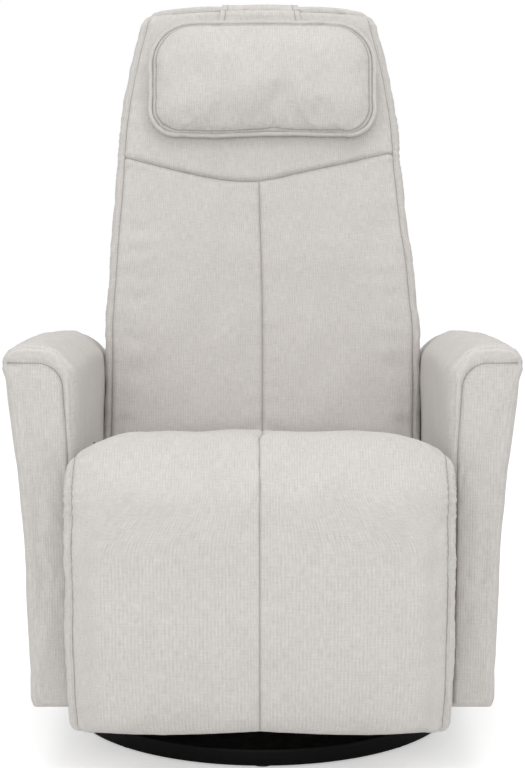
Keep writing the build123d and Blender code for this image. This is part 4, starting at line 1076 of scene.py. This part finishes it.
def wear_group():
    """Edge wear: how far a rounded normal turns from the true one, broken up by noise; and dust,
    noise that gathers on faces that look up."""
    group, w, start, end = new_group(
        "edge_wear",
        [("Place", "NodeSocketVector", None), ("Radius", "NodeSocketFloat", 0.0012),
         ("Amount", "NodeSocketFloat", 1.0), ("Scuff Scale", "NodeSocketFloat", 90.0)],
        [("Wear", "NodeSocketFloat"), ("Dust", "NodeSocketFloat"), ("Scuffs", "NodeSocketFloat")],
    )
    round_off = w.node("ShaderNodeBevel", samples=4)
    w.join(start.outputs["Radius"], round_off.inputs["Radius"])
    truth = w.node("ShaderNodeNewGeometry")
    turn = w.node("ShaderNodeVectorMath", operation="DOT_PRODUCT")
    w.join(round_off.outputs[0], turn.inputs[0])
    w.join(truth.outputs["Normal"], turn.inputs[1])
    edge = w.sum("SUBTRACT", 1.0, turn.outputs["Value"])
    scuffs = w.node("ShaderNodeTexNoise")
    scuffs.inputs["Detail"].default_value = 5.0
    w.join(start.outputs["Place"], scuffs.inputs["Vector"])
    w.join(start.outputs["Scuff Scale"], scuffs.inputs["Scale"])
    broken = w.sum("MULTIPLY", w.sum("MULTIPLY", edge, 6.0), scuffs.outputs[0])
    w.join(w.sum("MINIMUM", w.sum("MULTIPLY", broken, start.outputs["Amount"]), 1.0), end.inputs["Wear"])
    up = w.node("ShaderNodeSeparateXYZ")
    w.join(truth.outputs["Normal"], up.inputs[0])
    dust = w.sum("MULTIPLY", w.sum("MAXIMUM", up.outputs["Z"], 0.0), scuffs.outputs[0])
    w.join(dust, end.inputs["Dust"])
    w.join(scuffs.outputs[0], end.inputs["Scuffs"])
    return group


def grain_group():
    """Timber grain along X of its place: rings are a sine of the distance across, bent by slow
    noise, and fibres are noise drawn out along the board."""
    group, w, start, end = new_group(
        "timber_grain",
        [("Place", "NodeSocketVector", None), ("Ring Width", "NodeSocketFloat", 0.011)],
        [("Rings", "NodeSocketFloat"), ("Fibre", "NodeSocketFloat")],
    )
    place = start.outputs["Place"]
    bend = w.noise(place, 1.0, 3.0, 0.55, (3.0, 14.0, 14.0))
    parts = w.node("ShaderNodeSeparateXYZ")
    w.join(place, parts.inputs[0])
    across = w.sum("ADD", parts.outputs["Y"], w.sum("MULTIPLY", parts.outputs["Z"], 0.35))
    count = w.sum("DIVIDE", across, start.outputs["Ring Width"])
    rings = w.sum("SINE", w.sum("MULTIPLY_ADD", count, 2 * pi, w.sum("MULTIPLY", bend, 14.0)))
    w.join(w.sum("MULTIPLY_ADD", rings, 0.5, 0.5), end.inputs["Rings"])
    w.join(w.noise(place, 1.0, 4.0, 0.6, (12.0, 420.0, 420.0)), end.inputs["Fibre"])
    return group


def seam_shade_group():
    """Painted shade along seams, from three signed distances: the first output is 1 on a seam and falls
    smoothly to 0 at its width, a thin line of painted shade in the seam's groove; Shade does the same over
    five widths, a faint halo of painted shade beside it."""
    group, w, start, end = new_group(
        "seam_painted_shade",
        [(f"Gap {letter}", "NodeSocketFloat", FAR) for letter in "ABC"]
        + [("Width", "NodeSocketFloat", 0.0010)],
        [("Line", "NodeSocketFloat"), ("Shade", "NodeSocketFloat")],
    )
    nearest = w.sum("ABSOLUTE", start.outputs["Gap A"])
    for label in ("Gap B", "Gap C"):
        nearest = w.sum("MINIMUM", nearest, w.sum("ABSOLUTE", start.outputs[label]))
    for label, widths in (("Line", 1.0), ("Shade", 5.0)):
        fade = w.node("ShaderNodeMapRange", interpolation_type="SMOOTHSTEP")
        w.join(w.sum("DIVIDE", nearest, start.outputs["Width"]), fade.inputs["Value"])
        for key, number in (("From Min", 0.15), ("From Max", widths), ("To Min", 1.0), ("To Max", 0.0)):
            fade.inputs[key].default_value = number
        w.join(fade.outputs[0], end.inputs[label])
    return group


CHENILLE, WEAR, GRAIN, SEAM_SHADE = chenille_group(), wear_group(), grain_group(), seam_shade_group()


def new_material(name):
    """A material with one shader wired to its output."""
    material = bpy.data.materials.new(name)
    material.use_nodes = True
    material.node_tree.nodes.clear()
    w = Wires(material.node_tree)
    shader = w.node("ShaderNodeBsdfPrincipled")
    output = w.node("ShaderNodeOutputMaterial")
    w.join(shader.outputs[0], output.inputs["Surface"])
    return material, w, shader


def use_group(w, group, **values):
    """Places a group, with a number or another node's value for each input."""
    made = w.node("ShaderNodeGroup")
    made.node_tree = group
    for key, value in values.items():
        w.give(value, made.inputs[key.replace("_", " ")])
    return made


def mix(w, share, first, second):
    """A colour between two, by a share that is a number or another node's value."""
    made = w.node("ShaderNodeMix", data_type="RGBA")
    for slot, value in ((0, share), (6, first), (7, second)):
        w.give(value, made.inputs[slot])
    return made.outputs[2]


def span_of(w, value, low, high, out_low, out_high):
    """Carries a value's span onto another span."""
    made = w.node("ShaderNodeMapRange")
    w.join(value, made.inputs["Value"])
    for key, number in (("From Min", low), ("From Max", high), ("To Min", out_low), ("To Max", out_high)):
        made.inputs[key].default_value = number
    return made.outputs[0]


def raise_by(w, shader, height, strength, distance):
    """Lets a height show in the shader's normal."""
    raised = w.node("ShaderNodeBump", in_Strength=strength, in_Distance=distance)
    w.join(height, raised.inputs["Height"])
    w.join(raised.outputs[0], shader.inputs["Normal"])


def chenille_material(name, dark, light, rib=0.5, slub=0.5, fuzz=0.5, seams=True):
    """The cover's cloth: woven tone and slow blotches, painted shade along the seams, and a soft sheen."""
    material, w, shader = new_material(name)
    place = w.node("ShaderNodeUVMap", uv_map="cloth").outputs[0]
    weave = use_group(w, CHENILLE, Place=place, Rib=rib, Slub=slub, Fuzz=fuzz)
    colour = mix(w, weave.outputs["Tone"], dark, light)
    blotch = span_of(w, weave.outputs["Blotch"], 0.3, 0.7, 0.0, 1.0)
    shade = mix(w, blotch, (0.965, 0.962, 0.956), (1.0, 1.0, 1.0))
    product = w.node("ShaderNodeMix", data_type="RGBA", blend_type="MULTIPLY")
    product.inputs[0].default_value = 1.0
    w.join(colour, product.inputs[6])
    w.join(shade, product.inputs[7])
    colour = product.outputs[2]
    height = weave.outputs["Height"]
    if seams:
        gaps = [w.node("ShaderNodeAttribute", attribute_name=f"seam_{end}").outputs["Fac"] for end in "abc"]
        lines = use_group(w, SEAM_SHADE, Gap_A=gaps[0], Gap_B=gaps[1], Gap_C=gaps[2])
        # Painted shade: the cloth darkens slightly over five widths beside each seam and strongly on the
        # seam's own line, standing in for the shade in its groove.
        colour = mix(w, w.sum("MULTIPLY", lines.outputs["Shade"], 0.11), colour, tuple(0.6 * c for c in dark))
        colour = mix(w, w.sum("MULTIPLY", lines.outputs["Line"], 0.46), colour, tuple(0.34 * c for c in dark))
        height = w.sum("SUBTRACT", height, w.sum("MULTIPLY", lines.outputs["Line"], 1.6))
    w.join(colour, shader.inputs["Base Color"])
    w.join(span_of(w, weave.outputs["Tone"], 0.0, 1.0, 0.98, 0.88), shader.inputs["Roughness"])
    shader.inputs["Specular IOR Level"].default_value = 0.25
    shader.inputs["Sheen Weight"].default_value = 0.22
    shader.inputs["Sheen Roughness"].default_value = 0.55
    shader.inputs["Sheen Tint"].default_value = (0.95, 0.94, 0.92, 1.0)
    raise_by(w, shader, height, 0.5, 0.0011)
    return material


def object_place(w):
    """Where a point is, in the chair's own metres."""
    return w.node("ShaderNodeTexCoord").outputs["Object"]


def painted_material(name, colour, bare, rough, wear, texture, metal=False):
    """Paint or plating with worn edges, faint orange peel and a little dust on top."""
    material, w, shader = new_material(name)
    place = object_place(w)
    worn = use_group(w, WEAR, Place=place, Amount=wear)
    grime = w.noise(place, 14.0, 4.0, 0.6)
    paler = tuple(min(1.0, c * 1.22 + 0.004) for c in colour)
    tint = mix(w, span_of(w, grime, 0.35, 0.7, 0.0, 1.0), colour, paler)
    tint = mix(w, worn.outputs["Wear"], tint, bare)
    tint = mix(w, w.sum("MULTIPLY", worn.outputs["Dust"], 0.06), tint, (0.5, 0.48, 0.45))
    w.join(tint, shader.inputs["Base Color"])
    scuffed = span_of(w, worn.outputs["Scuffs"], 0.3, 0.7, rough - 0.06, rough + 0.08)
    w.join(w.sum("ADD", scuffed, w.sum("MULTIPLY", worn.outputs["Dust"], 0.12)), shader.inputs["Roughness"])
    if metal:
        shader.inputs["Metallic"].default_value = 1.0
    else:
        w.join(w.sum("MULTIPLY", worn.outputs["Wear"], 0.9), shader.inputs["Metallic"])
    peel = w.noise(place, 900.0, 2.0, 0.5)
    raise_by(w, shader, peel, texture, 0.0004)
    return material


def timber_material():
    """Beech: two tones of rings, darker fibres, and an open-pored surface."""
    material, w, shader = new_material("beech_frame")
    place = object_place(w)
    turned = w.node("ShaderNodeMapping")
    turned.inputs["Rotation"].default_value = (0.06, 0.04, 0.05)
    w.join(place, turned.inputs["Vector"])
    grain = use_group(w, GRAIN, Place=turned.outputs[0])
    colour = mix(w, grain.outputs["Rings"], (0.52, 0.33, 0.17), (0.66, 0.46, 0.27))
    colour = mix(w, span_of(w, grain.outputs["Fibre"], 0.35, 0.7, 0.0, 0.45), colour, (0.40, 0.24, 0.12))
    w.join(colour, shader.inputs["Base Color"])
    w.join(span_of(w, grain.outputs["Fibre"], 0.2, 0.8, 0.52, 0.74), shader.inputs["Roughness"])
    raise_by(w, shader, grain.outputs["Fibre"], 0.25, 0.0005)
    return material


def base_material():
    """Near-black lacquered board: faint grain under satin, worn rim, a little dust."""
    material, w, shader = new_material("black_lacquered_base")
    place = object_place(w)
    grain = use_group(w, GRAIN, Place=place, Ring_Width=0.02)
    worn = use_group(w, WEAR, Place=place, Amount=0.35, Radius=0.002)
    fibre = w.sum("MULTIPLY", grain.outputs["Fibre"], 0.8)
    colour = mix(w, fibre, (0.0022, 0.0023, 0.0026), (0.0052, 0.0050, 0.0052))
    colour = mix(w, worn.outputs["Wear"], colour, (0.06, 0.05, 0.04))
    colour = mix(w, w.sum("MULTIPLY", worn.outputs["Dust"], 0.003), colour, (0.4, 0.38, 0.35))
    w.join(colour, shader.inputs["Base Color"])
    w.join(span_of(w, worn.outputs["Scuffs"], 0.3, 0.7, 0.36, 0.50), shader.inputs["Roughness"])
    shader.inputs["Specular IOR Level"].default_value = 0.12
    raise_by(w, shader, grain.outputs["Fibre"], 0.15, 0.0004)
    return material


def felt_material(name, dark, light, ribs):
    """Felt, or with ribs a woven webbing: noise fuzz, plus a sine across the band and a finer
    one along it."""
    material, w, shader = new_material(name)
    place = object_place(w)
    fuzz = w.noise(place, 1400.0, 4.0, 0.7)
    blotch = w.noise(place, 30.0, 2.0, 0.5)
    height = fuzz
    tone = span_of(w, fuzz, 0.3, 0.7, 0.0, 1.0)
    if ribs:
        parts = w.node("ShaderNodeSeparateXYZ")
        w.join(place, parts.inputs[0])
        warp = w.sum("SINE", w.sum("MULTIPLY", parts.outputs["X"], 2 * pi / 0.0024))
        weft = w.sum("SINE", w.sum("MULTIPLY", parts.outputs["Z"], 2 * pi / 0.0019))
        woven = w.sum("MULTIPLY_ADD", w.sum("MULTIPLY", warp, weft), 0.3, 0.5)
        height = w.sum("ADD", woven, w.sum("MULTIPLY", fuzz, 0.4))
        tone = w.sum("MULTIPLY_ADD", woven, 0.7, w.sum("MULTIPLY", blotch, 0.3))
    w.join(mix(w, tone, dark, light), shader.inputs["Base Color"])
    w.join(span_of(w, blotch, 0.3, 0.7, 0.86, 0.98), shader.inputs["Roughness"])
    raise_by(w, shader, height, 0.5, 0.0008)
    return material


COVER = chenille_material(
    "ivory_chenille", (0.450, 0.425, 0.404), (0.715, 0.690, 0.666), rib=0.50, slub=0.85, fuzz=0.8
)
REAR = chenille_material(
    "ivory_chenille_rear", (0.442, 0.420, 0.400), (0.700, 0.678, 0.654), rib=0.6, slub=0.8, fuzz=0.8
)
CORD = chenille_material(
    "ivory_piping", (0.440, 0.418, 0.398), (0.690, 0.668, 0.645), rib=0.3, slub=0.9, fuzz=0.9, seams=False
)
FINISH = {
    "cover_fabric": COVER,
    "rear_fabric": REAR,
    "base_black": base_material(),
    "glide_felt": felt_material("grey_glide_felt", (0.035, 0.035, 0.037), (0.11, 0.11, 0.112), False),
    "zinc_steel": painted_material(
        "zinc_plated_steel", (0.56, 0.57, 0.58), (0.70, 0.70, 0.70),
        rough=0.36, wear=0.5, texture=0.1, metal=True,
    ),
    "black_steel": painted_material(
        "black_painted_steel", (0.020, 0.020, 0.022), (0.42, 0.41, 0.40), rough=0.42, wear=0.55, texture=0.25
    ),
    "frame_timber": timber_material(),
    "webbing": felt_material("brown_webbing", (0.055, 0.045, 0.036), (0.20, 0.17, 0.14), True),
    "weight_iron": painted_material(
        "cast_weight", (0.13, 0.13, 0.135), (0.34, 0.33, 0.32), rough=0.62, wear=0.4, texture=0.6
    ),
}


# ---- pieces ----------------------------------------------------------------------------------
def dress(piece, material):
    """Gives a piece its one material."""
    piece.data.materials.clear()
    piece.data.materials.append(material)


def cover(piece, finish, slot, fill, node, body):
    """Gives a padded piece its cloth, hides the CAD node it stands for, and lets it ride."""
    dress(piece, finish)
    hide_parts(node)
    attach(piece, body)
    return piece


def upholster():
    """Makes every soft piece. The chaise bends over the knee between the seat and the footrest."""
    chaise = make_chaise()
    finish_chaise(chaise)
    dress(chaise, COVER)
    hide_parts("seat_cushion", "knee_roll", "footrest_pad")
    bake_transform(chaise)

    back = cover(make_back(), COVER, "cover_fabric", 0.75, "back_cushion", "back")
    cover(make_back_rear(), REAR, "rear_fabric", 0.3, "back_panel", "back")
    pillow, piping = make_head_pillow()
    cover(pillow, COVER, "cover_fabric", 0.8, "head_pillow", "head_pillow")
    dress(piping, CORD)
    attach(piping, "head_pillow")

    strap, flat, area = make_strap(back)
    dress(strap, COVER)
    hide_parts("headrest_strap")
    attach(strap, "back")

    cover(make_pouch(), REAR, "rear_fabric", 0.4, "counterweight_pouch", "counterweight")
    for name, side in (("left", 1), ("right", -1)):
        arm = make_arm(f"arm_{name}_upholstery", side)
        cover(arm, COVER, "cover_fabric", 0.7, f"arm_cover_{name}", "seat")
    cover(make_valance(), REAR, "rear_fabric", 0.2, "rear_valance", "seat")


def finish_frame():
    """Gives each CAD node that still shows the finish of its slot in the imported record."""
    slots = {part["node"]: part["material_slot"] for part in frame["record"]["subparts"]}
    for name, node in frame["nodes"].items():
        if not node.hide_render:
            for slot in node.material_slots:
                slot.material = FINISH[slots[name]]


def set_the_room():
    """A pale floor, soft light from above, in front and both sides, and the camera in front of
    the chair, a little above it."""
    corners = np.array([[-40.0, -40, 0], [40, -40, 0], [40, 40, 0], [-40, 40, 0]])
    floor = mesh_piece("studio_floor", corners, np.array([[0, 1, 2, 3]]))
    material, w, shader = new_material("pale_floor")
    tone = w.noise(object_place(w), 2.0, 2.0, 0.5)
    w.join(mix(w, tone, (0.86, 0.86, 0.86), (0.90, 0.90, 0.90)), shader.inputs["Base Color"])
    shader.inputs["Roughness"].default_value = 0.9
    path = w.node("ShaderNodeLightPath")
    w.join(w.sum("MULTIPLY", path.outputs["Is Camera Ray"], 0.42), shader.inputs["Emission Strength"])
    shader.inputs["Emission Color"].default_value = (1, 1, 1, 1)
    dress(floor, material)

    world = bpy.data.worlds.new("studio")
    world.use_nodes = True
    world.node_tree.nodes.clear()
    w = Wires(world.node_tree)
    seen = w.node("ShaderNodeBackground", in_Color=(1, 1, 1, 1), in_Strength=1.0)
    cast = w.node("ShaderNodeBackground", in_Color=(1, 1, 1, 1), in_Strength=0.66)
    path = w.node("ShaderNodeLightPath")
    either = w.node("ShaderNodeMixShader")
    w.join(path.outputs["Is Camera Ray"], either.inputs[0])
    w.join(cast.outputs[0], either.inputs[1])
    w.join(seen.outputs[0], either.inputs[2])
    w.join(either.outputs[0], w.node("ShaderNodeOutputWorld").inputs[0])
    bpy.context.scene.world = world
    for name, place, turn, size, power in (
        ("overhead", (0.0, -0.6, 3.4), (radians(-10), 0, 0), (3.4, 2.6), 40),
        ("front", (-0.2, -4.4, 1.7), (radians(79), 0, radians(-3)), (2.2, 1.6), 36),
        ("left_front", (-2.6, -3.0, 2.1), (radians(62), 0, radians(-41)), (2.2, 2.2), 19),
        ("right_front", (2.6, -3.0, 2.1), (radians(62), 0, radians(41)), (2.2, 2.2), 15),
    ):
        lamp = bpy.data.lights.new(name, "AREA")
        lamp.shape = "RECTANGLE"
        lamp.size, lamp.size_y = size
        lamp.energy = power
        holder = bpy.data.objects.new(name, lamp)
        holder.location, holder.rotation_euler = place, turn
        bpy.context.scene.collection.objects.link(holder)

    camera = bpy.data.cameras.new("front_view")
    camera.lens, camera.sensor_width = 95.86, 36
    camera.sensor_fit = "AUTO"
    camera.clip_end = 60
    holder = bpy.data.objects.new("front_view", camera)
    holder.location = (0.0, -3.1, 0.999)
    holder.rotation_euler = (radians(90 - 8.95), 0, 0)
    bpy.context.scene.collection.objects.link(holder)
    bpy.context.scene.camera = holder
    bpy.context.scene.view_settings.view_transform = "Standard"


set_the_room()
upholster()
finish_frame()
